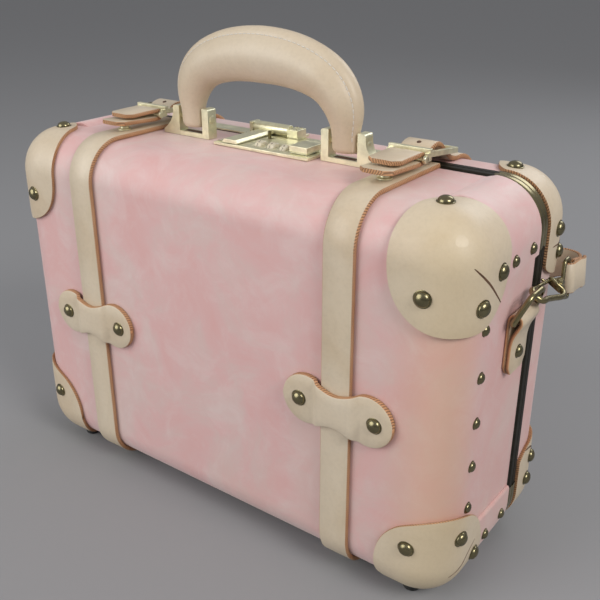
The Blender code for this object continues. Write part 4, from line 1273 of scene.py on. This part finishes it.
def hook_axes(sx):
    """Origin of the hook, and the ways along it, across it, and up along the swivel eye."""
    origin = Vector((sx * HOOK_AT.x, HOOK_AT.y, HOOK_AT.z))
    u = Vector((0, math.cos(HOOK_DIP), -math.sin(HOOK_DIP)))
    up = Vector((0, math.sin(HOOK_DIP), math.cos(HOOK_DIP)))
    w = up * math.cos(HOOK_ROLL) + Vector((sx, 0, 0)) * math.sin(HOOK_ROLL)
    rolled = up * math.cos(EYE_ROLL) - Vector((sx, 0, 0)) * math.sin(EYE_ROLL)
    return origin, u, w, rolled


def on_hook(sx, u_mm, w_mm, upright=False):
    origin, u, w, rolled = hook_axes(sx)
    return origin + u * u_mm + (rolled if upright else w) * w_mm


def build_side(side, sx):
    make(f"ring_loop_{side}", chape(sx), (CREAM, EDGE), "base", (f"side_chape_{side}",), angle=50)
    make(f"d_ring_{side}", tube(Shape(), ring_path(sx), WIRE, True), AGED, f"ring_{side}",
         (f"side_ring_{side}",), angle=60)
    _, u, w, _ = hook_axes(sx)
    n = u.cross(w)
    b = HOOK_BEND
    bow = smooth([(28, -b, 0), (25.6, -b - 2.6, 0), (20, -b - 3.4, 0), (11, -b - 1.4, 0),
                  (4, -b, 0)], 4)
    flat = [(p.x, p.y) for p in bow] + list(arc((0, 0), b, 262, 95, 14)) + [(4, b), (8.6, b)]
    hook = Shape()
    path = [on_hook(sx, p, q) for p, q in flat]
    tube(hook, path, [WIRE] * (len(path) - 2) + [1.6, 1.25])
    rings = []
    block = ((-1, -0.5), (-0.8, -1), (0.8, -1), (1, -0.5), (1, 0.5), (0.8, 1), (-0.8, 1),
             (-1, 0.5))
    for at_u, half_w, half_t in ((26.2, 5.0, 1.5), (26.6, 5.8, 2.1), (27.4, 5.9, 2.3),
                                 (29.4, 4.6, 2.3), (30.2, 3.2, 2.2)):
        rings.append([on_hook(sx, at_u, 0) + w * a * half_w + n * c * half_t for a, c in block])
    hook.rings(rings)
    collar = ((2.6, 0), (3.3, 0.5), (3.3, 1.4), (2.9, 1.7), (2.9, 2.1), (3.3, 2.4), (3.3, 5.6),
              (2.8, 6.2), (1.6, 6.3))
    lathe(hook, on_hook(sx, 29.4, 0), u, collar, 20)
    make(f"hook_{side}", hook, AGED, f"hook_{side}", (f"snap_hook_{side}",), angle=45)
    gate = tube(Shape(), [on_hook(sx, p, b) for p in (9.2, 12, 18, 24, 25.7)],
                [1.1, 1.3, 1.3, 1.3, 1.2], sides=12)
    tube(gate, [on_hook(sx, p, q) for p, q in ((20.5, b + 0.9), (20.2, b + 1.9), (19.6, b + 2.5))],
         [0.9, 0.9, 0.7], sides=10)
    make(f"gate_{side}", gate, AGED, f"gate_{side}", (f"hook_gate_{side}",), angle=60)
    reach, apex = EYE_HALF, EYE_U - 10
    loop = rounded_loop(((EYE_U, -reach), (EYE_U, reach), (apex + 3, reach - 1), (apex, 0),
                         (apex + 3, 1 - reach)), (1.5, 1.5, 3, 3, 3), 6)
    eye = tube(Shape(), [on_hook(sx, p.x, p.y, upright=True) for p in loop], EYE_WIRE, True)
    tube(eye, [on_hook(sx, p, 0) for p in (31.4, 33, 35, apex + 0.4)], EYE_WIRE)
    make(f"swivel_{side}", eye, ANTIQUE, f"swivel_{side}", (f"swivel_eye_{side}",), angle=60)


def strap_axes(sx):
    """Swivel bar, and the ways the strap leaves it: away, along the bar and outward."""
    _, u, _, bar_way = hook_axes(sx)
    return on_hook(sx, EYE_U, 0), u, bar_way, u.cross(bar_way) * sx


def strap_path(sx):
    """Half of the shoulder strap: from the swivel bar, round the back, to the middle."""
    bar, away, _, out = strap_axes(sx)
    start = [bar - out * 0.4 + away * 9, bar - out * 0.4 + away * 15]
    bend = ((188.9, 149.5, 176.4), (187.8, 155.5, 175.6), (184.6, 161.4, 175.0),
            (179, 165.6, 174.4), (171.5, 168, 173.2), (161.5, 168.8, 168.6), (151, 169, 160.2),
            (141, 168.7, 148.5), (131.5, 168.2, 134), (120, 167.5, 115), (107, 168, 94),
            (91, 168, 74), (70, 168, 55.5), (47, 168, 41.5), (23, 168, 33.5), (0, 168, 31))
    return smooth(start + [(sx * x, y, z) for x, y, z in bend], 6)


def turning(sx, dist):
    """Way across the strap: on edge by the hook, then level where it hangs behind the case."""
    bar_way = strap_axes(sx)[2]

    def across(i):
        t = min(max((dist[i] - 48) / 80, 0), 1)
        return bar_way.lerp(Vector((0, -1, 0)), ease(t))

    return across


def strap_end(sx):
    """End of the shoulder strap: folded round the swivel bar and laid over the strap."""
    bar, away, bar_way, out = strap_axes(sx)
    path = strap_path(sx)
    dist = lengths(path)
    across = turning(sx, dist)
    turn = 3.0
    line = [bar - out * 1.9 + away * 8.5, bar - out * 2.3 + away * 6, bar - out * 2.9 + away * 2.5]
    line += [bar + (away * -math.cos(a) + out * math.sin(a)) * turn
             for a in (math.radians(d) for d in range(-90, 91, 15))]
    line += [bar + out * 2.7 + away * 3.5, bar + out * 2.4 + away * 6.5]
    for i, (p, along) in enumerate(zip(path, tangents(path))):
        if dist[i] < 22:
            line.append(p + across(i).cross(along).normalized() * (-2.7 * sx))
    return strip(Shape(), line, lambda i: bar_way, clipped(SHOULDER_W, 2.5, 1.4), FOLD_T)


def strap_body(sx):
    path = strap_path(sx)
    return strip(Shape(), path, turning(sx, lengths(path)), SHOULDER_W, SHOULDER_T)


def build_shoulder_strap():
    for side, sx in SIDES:
        end = make(f"strap_end_{side}", strap_end(sx), (CREAM, EDGE), f"swivel_{side}", angle=50)
        half = make(f"strap_half_{side}", strap_body(sx), (CREAM, EDGE), angle=50)
        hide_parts("shoulder_strap")
        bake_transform(half)


# ------------------------------------------------------------------ everything

add_camera()
add_surroundings()
build_shells()
build_frames()
build_caps()
build_darts()
build_bands()
build_straps()
build_rivets()
build_feet()
build_handle()
build_brackets()
build_lock()
for side_name, side_sign in SIDES:
    build_side(side_name, side_sign)
build_shoulder_strap()
for node_name, look in (("hinge_leaf_base", ANTIQUE), ("hinge_leaf_lid", ANTIQUE),
                        ("hinge_pin", STEEL), ("dial_shaft", STEEL)):
    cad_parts[node_name].data.materials[0] = look
